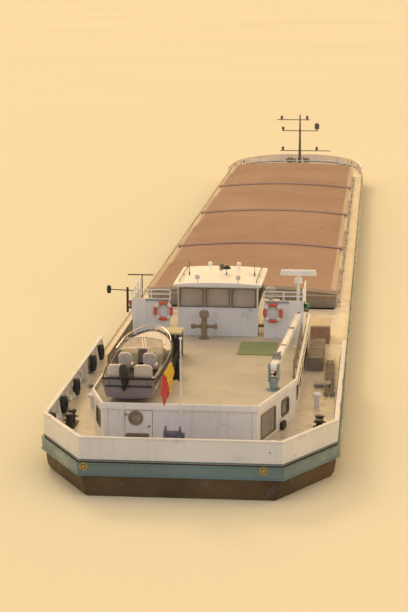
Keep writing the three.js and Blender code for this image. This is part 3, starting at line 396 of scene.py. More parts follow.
def hatch_finish():
    """Faded red brown covers with scuffs along them, worn paler at their edges, and painted lighter on their
    end faces as painted light against their shade.
    """
    finish = Finish("hatch paint", 0.75, gloss=0.2)
    dust = finish.noise(1.6, 8.0, (1, 0.5, 1), 4.0)
    scuffs = finish.noise(0.25, 7.0, (1, 0.12, 1), 8.0)
    edge = COAMING_HIGH.x - 0.22
    tone = finish.clouded(finish.noise(5.0, 6.0), HATCH_RED)
    tone = finish.blend(dust, 0.45, 0.75, tone, HATCH_DUST, 0.4)
    tone = finish.blend(scuffs, 0.62, 0.78, tone, HATCH_SCUFF, 0.35)
    tone = finish.blend(finish.across(), edge - 0.06, edge, tone, WORN_EDGE)
    # Faces turned fore or aft are painted lighter: painted light against their shade.
    tone = finish.blend(finish.tilt("Y"), 0.5, 0.8, tone, END_FACES_PAINTED_LIGHT)
    rough = finish.ramp(dust, 0.3, 0.7, 0.68, 0.85)
    return finish.surface(tone, rough, finish.noise(0.9, 3.0, shift=5.0), 0.012)


def coaming_finish():
    """Glossy cream sides, gables painted a darker tan as painted shade, and a worn top edge."""
    finish = Finish("coaming paint", 0.36)
    clouds = finish.noise(1.8, 5.0)
    cream, tan = finish.clouded(clouds, COAMING_CREAM), finish.clouded(clouds, GABLE_TAN_PAINTED_SHADE)
    # Gables turned fore or aft take the darker tan: painted shade.
    tone = finish.blend(finish.tilt("Y"), 0.5, 0.8, cream, tan)
    top = COAMING_HIGH.z - 0.3
    tone = finish.blend(finish.axis("Z"), top, top + 0.01, tone, WORN_EDGE)
    return on_plate(finish, tone, 0.36, 0.15, 0.15)


def bulwark_finish():
    """White plate over a blue foot, painted lighter and warmer at the bow as painted light against the shade
    on its inner face.
    """
    finish = Finish("bulwark paint", 0.4)
    clouds = finish.noise(1.8, 5.0)
    white = finish.clouded(clouds, BULWARK_WHITE)
    # Towards the bow the white turns lighter and warmer: painted light against shade.
    white = finish.blend(finish.axis("Y"), 40.0, 60.0, white, BULWARK_FORE_PAINTED_LIGHT)
    blue = finish.clouded(clouds, [shade(BLUE, 0.8), shade(BLUE, 1.1)])
    tone = finish.blend(finish.axis("Z"), 0.055, 0.045, white, blue)
    return on_plate(finish, tone, 0.4, 0.12, 0.12, 0.014)


def metal(name, colour, roughness, stain=0.3):
    finish = Finish(name, roughness, metallic=1.0)
    patches = finish.noise(0.2, 6.0)
    tone = finish.blend(patches, 0.45, 0.7, colour, shade(colour, 0.4), stain)
    rough = finish.ramp(patches, 0.3, 0.7, roughness - 0.1, roughness + 0.2)
    return finish.surface(tone, rough, finish.noise(0.03, 3.0), 0.002)


def glass(name, tint, alpha):
    finish = Finish(name, 0.04)
    finish.shader["Alpha"].default_value = alpha
    smears = finish.noise(0.4, 4.0, (1, 1, 0.4))
    tone = finish.blend(smears, 0.4, 0.8, tint, shade(tint, 2.5), 0.4)
    rough = finish.ramp(smears, 0.4, 0.8, 0.03, 0.16)
    return finish.surface(tone, rough, finish.noise(0.6, 1.0), 0.003, 0.3)


def plastic(name, colour, roughness, coat=0.0, grain=0.0, mottle=0.05):
    finish = Finish(name, roughness, coat=coat)
    grime = finish.noise(0.18, 6.0, shift=2.0)
    tone = finish.clouded(finish.noise(0.4, 5.0), shades(colour, mottle))
    tone = finish.blend(grime, 0.58, 0.8, tone, GRIME, 0.3)
    rough = finish.ramp(grime, 0.3, 0.7, max(roughness - 0.08, 0.04), roughness + 0.18)
    return finish.surface(tone, rough, finish.noise(0.015 if grain else 0.3, 2.0), grain or 0.003)


def cloth(name, tone_at, thread):
    """Woven cloth: tone_at gives the colour or its socket, thread is the weave's spacing."""
    finish = Finish(name, 0.9)
    finish.shader["Sheen Weight"].default_value = 0.2
    worn = finish.noise(0.12, 5.0)
    base = tone_at(finish)
    waves = []
    for direction in ("X", "Z"):
        wave = finish.add("ShaderNodeTexWave", wave_type="BANDS", bands_direction=direction)
        wave.inputs["Scale"].default_value = 0.3 / (thread * SCALE)
        finish.feed(wave.inputs["Vector"], finish.where)
        waves.append(wave.outputs["Fac"])
    tone = finish.blend(worn, 0.4, 0.7, base, finish.mix(0.55, base, GRIME), 0.35)
    rough = finish.ramp(worn, 0.3, 0.7, 0.8, 1.0)
    return finish.surface(tone, rough, finish.calc("ADD", *waves), 0.002, 0.4)


def floor_finish():
    finish = Finish("pale floor", 0.8, gloss=0.1)
    patches = finish.noise(40.0, 3.0)
    tone = finish.clouded(patches, [FLOOR, shade(FLOOR, 1.04)])
    return finish.surface(tone, finish.ramp(patches, 0.3, 0.7, 0.75, 0.9))


PAINT = {
    "hull": hull_finish(),
    "hatch": hatch_finish(),
    "bulwark": bulwark_finish(),
    "coaming": coaming_finish(),
    "blue": painted("blue paint", BLUE, 0.25, 0.15, 0.3, 0.25, gloss=0.7),
    "white": painted("white paint", WHITE, 0.38, 0.05, 0.14, 0.1),
    "cream": painted("roof paint", CREAM, 0.65, 0.08, 0.1, 0.06, grain=0.006, gloss=0.3),
    # Lighter tone for the upper covers' end lips: painted light against their shade.
    "ends painted light": painted("hatch paint painted light at the ends", END_FACES_PAINTED_LIGHT, 0.8, 0.1, 0.1, 0.1, gloss=0.2),
    "locker": painted("locker paint", (0.33, 0.2, 0.14), 0.75, 0.12, 0.2, 0.1, gloss=0.2),
    "crane": painted("crane paint", (0.3, 0.36, 0.36), 0.45, 0.12, 0.2, 0.15),
    "timber": painted("grey brown paint", (0.42, 0.35, 0.26), 0.6, 0.15, 0.2, 0.1, gloss=0.3),
    "box": painted("box paint", (0.24, 0.21, 0.175), 0.7, 0.15, 0.2, 0.1, gloss=0.2),
    "grey": painted("grey paint", (0.36, 0.35, 0.33), 0.5, 0.12, 0.2, 0.2),
    "slate": painted("slate blue paint", SLATE, 0.45, 0.15, 0.25, 0.15),
    "rail": painted("bronze brown paint", (0.27, 0.21, 0.135), 0.5, 0.12, 0.2, 0.15),
    "mast": painted("mast paint", (0.15, 0.125, 0.1), 0.5, 0.12, 0.2, 0.1),
    "black": painted("black paint", (0.03, 0.027, 0.025), 0.42, 0.2, 0.15, 0.15),
    "yellow": painted("yellow paint", (0.55, 0.36, 0.04), 0.5, 0.12, 0.3, 0.3),
    "engine": painted("engine paint", (0.06, 0.16, 0.1), 0.4, 0.15, 0.2, 0.1, grain=0.004),
    "bronze": metal("bronze", (0.62, 0.4, 0.17), 0.28),
    "steel": metal("bright steel", (0.66, 0.66, 0.66), 0.25, 0.15),
    "zinc": metal("galvanised steel", (0.42, 0.43, 0.44), 0.5, 0.5),
    # Clear glass with a light tan layer: painted reflection of the bright sky and haze.
    "glass": glass("window glass", (0.6, 0.53, 0.42), 0.35),
    # Opaque dark panes: painted shade of the unlit rooms behind the windows.
    "glass with painted shade": glass("window glass with painted shade", (0.29, 0.245, 0.185), 1.0),
    "blind": plastic("blind slats", (0.95, 0.76, 0.56), 0.5),
    "radar": plastic("radar plastic", (0.96, 0.93, 0.86), 0.3, coat=0.2),
    "lamp": plastic("lamp glass", (0.75, 0.74, 0.68), 0.12, coat=0.5),
    "rubber": plastic("black rubber", (0.02, 0.02, 0.021), 0.6, grain=0.003),
    "white plastic": plastic("white plastic", (0.8, 0.8, 0.78), 0.25, coat=0.3),
    "boat blue": plastic("blue gel coat", (0.19, 0.17, 0.2), 0.2, coat=0.4),
    "boat white": plastic("white gel coat", (0.7, 0.63, 0.57), 0.3, coat=0.4),
    "boat dark": plastic("dark liner", (0.03, 0.032, 0.04), 0.5, grain=0.004),
    "beige": plastic("beige canvas", (0.6, 0.5, 0.34), 0.7, grain=0.004),
    "red": plastic("red lamp glass", (0.5, 0.02, 0.015), 0.15, coat=0.5),
    "green": plastic("green lamp glass", (0.01, 0.3, 0.08), 0.15, coat=0.5),
    "orange": plastic("buoy orange", (0.66, 0.14, 0.08), 0.5, grain=0.003),
    "screen": plastic("display glass", (0.01, 0.012, 0.016), 0.08, coat=0.8),
    "leather": plastic("seat leather", (0.035, 0.028, 0.022), 0.48, grain=0.004, mottle=0.2),
    "mat": cloth("green mat", lambda finish: MAT_GREEN, thread=0.03),
}

# Shapes


def move(x, y, z):
    return Matrix.Translation((x, y, z))


def turn(degrees, axis):
    return Matrix.Rotation(math.radians(degrees), 4, axis)


def facing(x, y, z, heading):
    """Axes on a wall: X along it, Y up, Z out of it. Heading 0 is ahead, 90 is to starboard."""
    angle = math.radians(heading)
    out = Vector((math.sin(angle), math.cos(angle), 0.0))
    up = Vector((0.0, 0.0, 1.0))
    axes = Matrix((up.cross(out), up, out)).transposed().to_4x4()
    axes.translation = (x, y, z)
    return axes


def rounded(width, height, radius, steps=4, at=(0, 0)):
    """A rectangle with round corners, anticlockwise round its middle."""
    points = []
    for corner, (sx, sy) in enumerate(((1, 1), (-1, 1), (-1, -1), (1, -1))):
        for step in range(steps + 1):
            angle = math.radians(90 * (corner + step / steps))
            x = sx * (width / 2 - radius) + radius * math.cos(angle)
            y = sy * (height / 2 - radius) + radius * math.sin(angle)
            points.append((at[0] + x, at[1] + y))
    return points


def circle(radius, steps=20, start=0.0):
    """Points round a circle, from start steps on."""
    angles = [2 * math.pi * (step + start) / steps for step in range(steps)]
    return [(radius * math.cos(angle), radius * math.sin(angle)) for angle in angles]


def offset(path, distance, looped=False):
    """A path in plan moved sideways to its right, with mitred corners."""
    count = len(path)

    def side(start, end):
        way = Vector((end[0] - start[0], end[1] - start[1])).normalized()
        return Vector((way.y, -way.x))

    moved = []
    for i, point in enumerate(path):
        first = side(path[i - 1], point) if i or looped else None
        last = side(point, path[(i + 1) % count]) if i + 1 < count or looped else None
        first, last = first or last, last or first
        shift = (first + last) * (distance / (1 + first.dot(last)))
        moved.append((point[0] + shift.x, point[1] + shift.y, point[2] if len(point) > 2 else 0.0))
    return moved


@contextmanager
def placed(matrix, *shapes):
    """Draws the shapes in other axes for a while."""
    before = [shape.place for shape in shapes]
    for shape in shapes:
        shape.place = shape.place @ matrix
    yield
    for shape, place in zip(shapes, before):
        shape.place = place


class Shape:
    """Closed solids collected into one mesh, in barge metres or in the axes of placed()."""

    def __init__(self):
        self.mesh = bmesh.new()
        self.place = Matrix.Identity(4)

    def add(self, points, faces):
        made = [self.mesh.verts.new(self.place @ Vector(point)) for point in points]
        for face in faces:
            self.mesh.faces.new([made[i] for i in face])

    def loft(self, rings, looped=False):
        """Rings of equal point counts skinned into a body with flat ends, or into a loop."""
        count = len(rings[0])
        faces = []
        for ring in range(len(rings) if looped else len(rings) - 1):
            here, there = ring * count, (ring + 1) % len(rings) * count
            for i in range(count):
                after = (i + 1) % count
                faces.append((here + i, here + after, there + after, there + i))
        if not looped:
            faces.append(tuple(reversed(range(count))))
            faces.append(tuple(range((len(rings) - 1) * count, len(rings) * count)))
        self.add([point for ring in rings for point in ring], faces)

    def box(self, first, second):
        """A box between two opposite corners."""
        (left, right), (aft, fore), (bottom, top) = (sorted(pair) for pair in zip(first, second))
        self.plate([(left, aft), (right, aft), (right, fore), (left, fore)], bottom, top)

    def plate(self, outline, low, high, axis="z"):
        """An outline pushed along an axis: (x, y) along z, (x, z) along y, (y, z) along x."""
        put = {
            "z": lambda a, b, level: (a, b, level),
            "y": lambda a, b, level: (a, level, b),
            "x": lambda a, b, level: (level, a, b),
        }[axis]
        self.loft([[put(a, b, level) for a, b in outline] for level in (low, high)])

    def bar(self, start, end, radius, end_radius=None, sides=12):
        self.tube([start, end], [radius, radius if end_radius is None else end_radius], sides)

    def pipe(self, path, radius, sides=8, looped=False):
        self.tube(path, [radius] * len(path), sides, looped)

    def tube(self, path, radii, sides, looped=False):
        points = [Vector(point) for point in path]
        count = len(points)
        normal = None
        rings = []
        for i, (point, radius) in enumerate(zip(points, radii)):
            before = points[i - 1] if i or looped else point
            after = points[(i + 1) % count] if i + 1 < count or looped else point
            way = (after - before).normalized()
            normal = normal or way.orthogonal()
            normal = (normal - way * normal.dot(way)).normalized()
            side = way.cross(normal)
            rings.append([point + a * normal + b * side for a, b in circle(radius, sides)])
        self.loft(rings, looped)

    def lathe(self, profile, at=(0, 0, 0), axis=(0, 0, 1), steps=24, looped=False):
        """A profile of (radius, height) turned round an axis. Radius 0 is a point on the axis."""
        tilt = Vector(axis).to_track_quat("Z", "Y")
        points, rows = [], []
        for radius, height in profile:
            spokes = 1 if radius == 0 else steps
            rows.append([len(points) + step % spokes for step in range(steps)])
            for x, y in circle(radius, steps)[:spokes]:
                points.append(Vector(at) + tilt @ Vector((x, y, height)))
        faces = []
        for low, high in zip(rows, rows[1:] + rows[:1] if looped else rows[1:]):
            for step in range(steps):
                after = (step + 1) % steps
                face = dict.fromkeys((low[step], low[after], high[after], high[step]))
                if len(face) > 2:
                    faces.append(tuple(face))
        if not looped:
            faces += [tuple(row) for row in (rows[0], rows[-1]) if row[0] != row[1]]
        self.add(points, faces)

    def dome(self, radius, height, at=(0, 0, 0), axis=(0, 0, 1), steps=20, rows=5):
        angles = [math.pi / 2 * row / rows for row in range(rows)]
        profile = [(radius * math.cos(angle), height * math.sin(angle)) for angle in angles]
        self.lathe(profile + [(0, height)], at, axis, steps)

    def ring(self, radius, thick, at=(0, 0, 0), axis=(0, 0, 1), steps=28, sides=8):
        self.lathe([(radius + a, b) for a, b in circle(thick, sides)], at, axis, steps, looped=True)

    def band(self, path, section, looped=False):
        """A section of (outward, up) points drawn along a path in plan, with mitred corners."""
        lines = [offset(path, out, looped) for out, _ in section]
        self.loft([
            [(line[i][0], line[i][1], line[i][2] + up) for line, (_, up) in zip(lines, section)]
            for i in range(len(path))
        ], looped)

    def piece(self, name, slot, material, body="hull", bevel=0.0, angle=35.0, replaces=()):
        """Makes the mesh an object of the model that rides on a body."""
        bmesh.ops.recalc_face_normals(self.mesh, faces=self.mesh.faces)
        self.mesh.transform(TO_MODEL)
        data = bpy.data.meshes.new(name)
        self.mesh.to_mesh(data)
        self.mesh.free()
        item = link(name, data)
        data.materials.append(PAINT[material])
        soften(item, bevel, angle)
        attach(item, body)
        if replaces:
            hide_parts(*replaces)
        return item


def shapes(count):
    return [Shape() for _ in range(count)]


def link(name, data):
    """Puts data into the scene as an object."""
    item = bpy.data.objects.new(name, data)
    bpy.context.scene.collection.objects.link(item)
    return item


def smoothing(angle):
    """Geometry nodes that smooth the shading except across edges sharper than an angle."""
    name = f"smooth under {angle:g} degrees"
    if name in bpy.data.node_groups:
        return bpy.data.node_groups[name]
    group = bpy.data.node_groups.new(name, "GeometryNodeTree")
    for way in ("INPUT", "OUTPUT"):
        group.interface.new_socket("Mesh", in_out=way, socket_type="NodeSocketGeometry")
    source, sink = group.nodes.new("NodeGroupInput"), group.nodes.new("NodeGroupOutput")
    bare = group.nodes.new("GeometryNodeRemoveAttribute")
    bare.inputs["Name"].default_value = "custom_normal"
    faces, edges = (group.nodes.new("GeometryNodeSetShadeSmooth") for _ in range(2))
    edges.domain = "EDGE"
    edges.inputs["Shade Smooth"].default_value = False
    bend = group.nodes.new("GeometryNodeInputMeshEdgeAngle")
    sharp = group.nodes.new("FunctionNodeCompare")
    sharp.inputs["B"].default_value = math.radians(angle)
    group.links.new(bend.outputs["Unsigned Angle"], sharp.inputs["A"])
    group.links.new(sharp.outputs["Result"], edges.inputs["Selection"])
    for first, second in ((source, bare), (bare, faces), (faces, edges), (edges, sink)):
        group.links.new(first.outputs[0], second.inputs[0])
    return group


def soften(item, bevel, angle):
    """Softened edges and smooth shading, by modifiers only."""
    if bevel:
        modifier = item.modifiers.new("edges", "BEVEL")
        modifier.width = bevel * SCALE
        modifier.segments = 2
        modifier.limit_method = "ANGLE"
        modifier.angle_limit = math.radians(angle)
    item.modifiers.new("shading", "NODES").node_group = smoothing(angle)
    item.modifiers.new("normals", "WEIGHTED_NORMAL").keep_sharp = True


def dress_nodes():
    """Gives the CAD nodes that stay their materials and softened edges."""
    for material, bevel, angle, nodes in KEPT:
        for node in nodes:
            item = NODES[node]
            item.material_slots[0].material = PAINT[material]
            item.modifiers.new("weld", "WELD").merge_threshold = 1e-5
            soften(item, bevel, angle)


# Hull


def deck_line(node, least):
    """The starboard edge of the deck along one hull node, from aft forward."""
    widest = {}
    for vertex in NODES[node].data.vertices:
        point = FROM_MODEL @ vertex.co
        if abs(point.z) < 0.01:
            key = round(point.y, 3)
            widest[key] = max(widest.get(key, 0.0), point.x)
    return [(x, y) for y, x in sorted(widest.items()) if x > least]


SHEER = deck_line("hull_aft", 3.0) + deck_line("hull_bow", 0.5)


def deck_edge(side, distance, inward, height):
    """Axes that face outward at a place on the deck's edge, moved inboard."""
    for (x0, y0), (x1, y1) in zip(SHEER, SHEER[1:]):
        if y0 <= distance <= y1 and y1 > y0:
            way = Vector((x1 - x0, y1 - y0)).normalized()
            x = x0 + (x1 - x0) * (distance - y0) / (y1 - y0) - inward * way.y
            heading = math.degrees(math.atan2(way.y, -way.x))
            return facing(side * x, distance + inward * way.x, height, side * heading)
    raise ValueError("outside the deck")


def rubbing_belts():
    """Half round beads along both edges of the flat belt round the hull."""
    beads = Shape()
    points = [FROM_MODEL @ vertex.co for vertex in NODES["rubbing_strake"].data.vertices]
    for edge, inward in ((BELT_LOW.z, 0.02), (BELT_HIGH.z, -0.02)):
        level = [point.to_2d() for point in points if abs(point.z - edge) < 0.01]
        path = [(*level[i], edge + inward) for i in convex_hull_2d(level)]
        beads.pipe(path, 0.028, sides=10, looped=True)
    beads.piece("belt_beads", "blue_paint", "blue", angle=50)


def stern_bitts():
    """Recessed mooring bitts in the belt at the transom, painted yellow."""
    rims, posts = shapes(2)
    for x in BITTS["across"]:
        with placed(facing(x, BELT_LOW.y - 0.005, BITTS["up"], ASTERN), rims, posts):
            rims.ring(0.105, 0.022)
            posts.lathe([(0, -0.01), (0.05, -0.01), (0.05, 0.02), (0.035, 0.03), (0, 0.03)], steps=16)
    rims.piece("stern_bitt_rims", "hull_paint", "yellow")
    posts.piece("stern_bitt_posts", "hull_paint", "yellow", bevel=0.004)


def bulwark_height(distance):
    """Height of the bulwark's rail at a place along the barge, read from its CAD nodes."""
    if distance < COAMING_LOW.y:
        return BULWARK_TOP
    low, high = span("bulwark_bow")
    share = (distance - low.y) / (high.y - low.y)
    return BOW_RAIL_AFT + (high.z - BOW_RAIL_AFT) * share ** 2


def bulwark_stays():
    stays = Shape()
    for distance in [3.6 + 1.35 * step for step in range(9)] + [73.4 + 1.1 * step for step in range(6)]:
        high = bulwark_height(distance) - 0.09
        outline = [(0.0, 0.0), (high, 0.0), (high, -0.05), (0.03, -0.25 * high), (0.0, -0.25 * high)]
        for side in BOTH:
            with placed(deck_edge(side, distance, 0.055, 0.004), stays):
                stays.plate(outline, -0.015, 0.015, "x")
    stays.piece("bulwark_stays", "white_paint", "white", bevel=0.006)


def fairleads():
    """Oval mooring pipes with round lips through the bulwark, dark inside."""
    lips, dark = shapes(2)
    for distance in FAIRLEADS:
        height = 0.52 * bulwark_height(distance)
        size = height / 0.4
        oval = Matrix.Diagonal((1.4 * size, 1.3 * size, 1.0, 1.0))
        for side in BOTH:
            with placed(deck_edge(side, distance, 0.025, height) @ oval, lips, dark):
                for level in (0, 0.03, -0.03):
                    lips.ring(0.1, 0.022, (0, 0, level))
                dark.plate(circle(0.098), -0.032, 0.032)
    lips.piece("bulwark_fairleads", "grey_paint", "grey")
    dark.piece("fairlead_openings", "black_paint", "black")


def toe_rails():
    """Low flat bar on the deck's edge beside the hold."""
    rail = Shape()
    start, end = span("bulwark_aft")[1].y, span("bulwark_bow")[0].y
    for side in BOTH:
        rail.box((side * (SIDE - 0.05), start, 0.003), (side * (SIDE - 0.01), end, 0.1))
    rail.piece("toe_rails", "coaming_paint", "coaming", bevel=0.008)


def bollards():
    """Double bollards: two posts with wide heads and a cross bar each, on a plate."""
    # Radius and share of the height, from the foot up
    post = (
        (0.125, 0.04), (0.11, 0.17), (0.105, 0.65), (0.12, 0.78), (0.145, 0.85), (0.145, 0.94),
        (0.12, 0.99), (0, 1),
    )
    for node in sorted(name for name in NODES if name.startswith("bollard_")):
        low, high = span(node)
        half, tall = (high.y - low.y) / 2, high.z - low.z
        shape = Shape()
        with placed(move((low.x + high.x) / 2, (low.y + high.y) / 2, low.z), shape):
            shape.plate(rounded(0.4, 2 * half, 0.06), 0, 0.03)
            for y in (-0.56 * half, 0.56 * half):
                outline = [(0, 0.01)] + [(radius, share * tall) for radius, share in post]
                shape.lathe(outline, (0, y, 0), steps=28)
                shape.bar((-0.2, y, 0.22), (0.2, y, 0.22), 0.025)
        shape.piece(node + "_casting", "black_paint", "black", bevel=0.006, replaces=[node])


def spaced(path, step):
    """Points of a path with more put in, no further apart than step."""
    points = [Vector(path[0])]
    for start, end in zip(path, path[1:]):
        start, end = Vector(start), Vector(end)
        count = max(math.ceil((end - start).length / step), 1)
        points += [start.lerp(end, share / count) for share in range(1, count + 1)]
    return points


def railing(shape, path, high, step):
    """Posts with foot plates along a path, with a rail on top and one half way up."""
    up = Vector((0, 0, high))
    for post in spaced(path, step):
        shape.bar(post, post + up, RAIL_PIPE)
        shape.bar(post, post + Vector((0, 0, 0.015)), RAIL_PIPE * 2.2)
    for share in (1.0, 0.5):
        shape.pipe([Vector(point) + up * share for point in path], RAIL_PIPE)


def seam(shape, place, low, high, half=0.012, proud=0.012):
    """A flat strip over a weld, up a wall between two heights."""
    with placed(place, shape):
        shape.box((-half, low, 0.001), (half, high, proud))


# Aft house


def house_plan(grow):
    """Corners of the house from its starboard aft corner forward and back along the port side."""
    (right, right_end), (left, left_end) = SLANTS[1], SLANTS[-1]
    half, aft, fore = HOUSE_HIGH.x, HOUSE_LOW.y, HOUSE_HIGH.y
    path = [(right, aft), (half, right_end), (half, fore), (-half, fore), (-half, left_end), (-left, aft)]
    return offset(path, grow, looped=True)


def slant_place(side, share, z):
    """Axes on a slanted wall at a share of its length from aft."""
    x0, y1 = SLANTS[side]
    x1, y0 = HOUSE_HIGH.x, HOUSE_LOW.y
    heading = math.degrees(math.atan2(y1 - y0, x0 - x1))
    return facing(side * (x0 + (x1 - x0) * share), y0 + (y1 - y0) * share, z, side * heading)


def house_windows():
    """Rounded frames over the openings in the walls, with their panes inside."""
    frames, panes = shapes(2)
    section = [
        (-0.02, -0.045), (-0.02, 0.022), (-0.005, 0.03), (0.035, 0.022), (0.045, 0.002), (0.0, 0.002),
        (0.0, -0.045),
    ]
    middle = (WINDOW["high"] + WINDOW["low"]) / 2
    places = []
    for side in BOTH:
        places += [(facing(side * HOUSE_HIGH.x, y, middle, side * 90), "long") for y in SIDE_WINDOWS]
        places.append((slant_place(side, SLANT_WINDOWS[side], middle), "slant"))
    for place, width in places:
        outline = rounded(WINDOW[width], WINDOW["high"] - WINDOW["low"], 0.09)
        with placed(place, frames, panes):
            frames.band(outline, section, looped=True)
            panes.plate([(x * 0.985, y * 0.985) for x, y in outline], -0.042, -0.034)
    frames.piece("house_window_frames", "black_paint", "mast")
    # The panes are opaque and dark: painted shade of the room behind.
    panes.piece("house_window_panes", "window_glass", "glass with painted shade")


def louvre(shape, place, width, height, blades, depth=0.03):
    """A frame with slanting blades on a wall."""
    pitch = (height - 0.06) / blades
    rim = [(-0.03, 0), (-0.03, depth), (0.0, depth + 0.01), (0.012, 0)]
    with placed(place, shape):
        shape.band(rounded(width, height, 0.03), rim, looped=True)
        for blade in range(blades):
            low = -height / 2 + 0.03 + blade * pitch
            high = low + 0.7 * pitch
            outline = [(low, 0.0), (low + 0.012, 0.0), (high + 0.012, 0.9 * depth), (high, 0.9 * depth)]
            shape.plate(outline, 0.02 - width / 2, width / 2 - 0.02, "x")


def companion_door():
    """Portlight, louvre, hinges and handle of the door in the aft wall."""
    low, high = span("aft_house_door")
    size = high - low
    ring, pane, grille, metalwork = shapes(4)
    centre = (low.x + PORTLIGHT["along"] * size.x, low.y, low.z + PORTLIGHT["up"] * size.z)
    with placed(move(*centre), ring, pane):
        ring.lathe([
            (0.165, 0.05), (0.165, -0.03), (0.18, -0.045), (0.218, -0.045), (0.232, -0.03), (0.237, 0.0),
            (0.179, 0.0), (0.179, 0.05),
        ], axis=AHEAD, steps=40, looped=True)
        for x, z in circle(PORTLIGHT["bolts"], 8, 0.5):
            ring.dome(0.013, 0.012, (x, -0.045, z), (0, -1, 0), steps=8, rows=2)
        pane.lathe([(0, 0.02), (0.176, 0.02), (0.176, 0.03), (0, 0.03)], axis=AHEAD, steps=32)
    louvre(grille, facing((low.x + high.x) / 2 - 0.03, low.y, low.z + 0.2, ASTERN), 0.7, 0.13, 4)
    for z in (0.16, 0.86):
        with placed(move(low.x + 0.01, low.y - 0.012, low.z + z), metalwork):
            metalwork.bar((0, 0, -0.06), (0, 0, 0.06), 0.014)
            metalwork.box((0, 0, -0.02), (0.21, 0.012, 0.02))
    with placed(move(high.x - 0.09, low.y, low.z + 0.5), metalwork):
        metalwork.lathe([
            (0, 0.01), (0.035, 0.01), (0.035, 0.0), (0.012, 0.0), (0.012, -0.045), (0, -0.045),
        ], axis=AHEAD, steps=16)
        metalwork.pipe([(0, -0.045, 0), (-0.11, -0.05, -0.01)], 0.011)
    ring.piece("door_portlight_ring", "mast_paint", "rail", "house_door")
    # The portlight's pane is opaque and dark: painted shade of the room behind.
    pane.piece("door_portlight_pane", "window_glass", "glass with painted shade", "house_door")
    grille.piece("door_louvre", "mast_paint", "rail", "house_door")
    metalwork.piece("door_fittings", "bright_steel", "zinc", "house_door")


def roof_lip():
    """The roof's raised edge, drawn round its outline."""
    lip = Shape()
    lip.band([(x, y, ROOF) for x, y, _ in house_plan(ROOF_OVERHANG - 0.01)], [
        (0.0, -0.075), (0.012, -0.07), (0.012, 0.1), (-0.01, 0.125), (-0.05, 0.125), (-0.065, 0.1),
        (-0.065, 0.001), (0.0, 0.001),
    ], looped=True)
    lip.piece("roof_lip", "white_paint", "white", angle=50)


def house_trim():
    """Door frame, wall seams, drain pipes, grab rails, the engine's air louvre and a power box."""
    trim, rails, grille, box = shapes(4)
    low, high = span("aft_house_door")
    with placed(facing((low.x + high.x) / 2, HOUSE_LOW.y, (low.z + high.z) / 2, ASTERN), trim):
        door = rounded(high.x - low.x + 0.04, high.z - low.z + 0.04, 0.03)
        trim.band(door, [(0.0, 0.002), (0.0, 0.02), (0.045, 0.02), (0.045, 0.002)], looped=True)
    for x in (-2.2, -0.65, 0.15, 0.95, 1.7):
        seam(trim, facing(x, HOUSE_LOW.y, 0, ASTERN), 0.02, 1.1)
    for side in BOTH:
        wall = side * HOUSE_HIGH.x
        for y in (6.0, 9.85, 11.75, 13.65, 15.6):
            seam(trim, facing(wall, y, 0, side * 90), 0.02, 1.1)
        pipe, drain = wall + side * 0.05, side * (SLANTS[side][0] - 0.1)
        trim.bar((pipe, 16.3, 0.02), (pipe, 16.3, 1.15), 0.032)
        trim.bar((drain, HOUSE_LOW.y - 0.04, 0.02), (drain, HOUSE_LOW.y - 0.04, 1.15), 0.028)
        rail = wall + side * 0.075
        rails.pipe([(rail, 6.2, 1.03), (rail, 16.1, 1.03)], 0.018)
        for step in range(10):
            rails.bar((rail, 6.25 + step, 1.03), (wall, 6.25 + step, 1.03), 0.012)
    louvre(grille, slant_place(1, 0.27, 0.56), 1.36, 0.8, 14, 0.04)
    with placed(slant_place(1, 0.63, 0.15), box):
        box.plate(rounded(0.34, 0.24, 0.03), 0.002, 0.12)
    trim.piece("house_seams_and_pipes", "white_paint", "white")
    rails.piece("house_grab_rails", "bright_steel", "steel")
    grille.piece("engine_air_louvres", "mast_paint", "rail")
    box.piece("shore_power_box", "black_paint", "black", bevel=0.01)


# Wheelhouse and wings


def seal_section(inner, outer, proud, deep):
    """A rubber seal's section round a window: how far it covers the pane and the wall."""
    return [(-inner, -deep), (-inner, proud), (outer, proud), (outer, 0.001), (0.0, 0.001), (0.0, -deep)]


def wheelhouse_windows():
    """Seals round the windows, covers on the pillars between the aft ones, and seams."""
    seals, covers, trim = shapes(3)
    middle, height = (GLASS["sill"] + GLASS["head"]) / 2, GLASS["head"] - GLASS["sill"]
    places = [
        (facing(x, y, middle, heading), 0.86)
        for x in CABIN_WINDOWS for y, heading in ((CABIN_LOW.y, ASTERN), (CABIN_HIGH.y, 0))
    ]
    for start, end in ((13.78, 14.68), (14.82, 15.7)):
        for side in BOTH:
            places.append((facing(side * CABIN_HIGH.x, (start + end) / 2, middle, side * 90), end - start))
    places.append((facing(-CABIN_HIGH.x, 13.22, middle, -90), 0.84))
    for place, width in places:
        with placed(place, seals):
            seals.band(rounded(width, height, 0.035, 3), seal_section(0.01, 0.02, 0.008, 0.05), looped=True)
    for x, wide in ((-1.42, 0.05), (-0.48, 0.1), (0.48, 0.1), (1.42, 0.05)):
        place = facing(x, CABIN_LOW.y, 0, ASTERN)
        seam(covers, place, GLASS["sill"] - 0.03, GLASS["head"] + 0.03, wide / 2, 0.006)
    for x in (-0.5, 0.5):
        seam(trim, facing(x, CABIN_LOW.y, 0, ASTERN), ROOF + 0.02, GLASS["sill"] - 0.06)
    left, aft, right, fore = CABIN_LOW.x, CABIN_LOW.y, CABIN_HIGH.x, CABIN_HIGH.y
    for z in (GLASS["sill"] - 0.055, GLASS["head"] + 0.045):
        path = [(right, aft, z), (right, fore, z), (left, fore, z), (left, aft, z)]
        trim.band(path, [(0.001, -0.015), (0.001, 0.015), (0.018, 0.01), (0.018, -0.01)], looped=True)
    seals.piece("wheelhouse_window_seals", "black_paint", "mast")
    covers.piece("wheelhouse_pillar_covers", "grey_paint", "timber")
    trim.piece("wheelhouse_seams", "white_paint", "white")


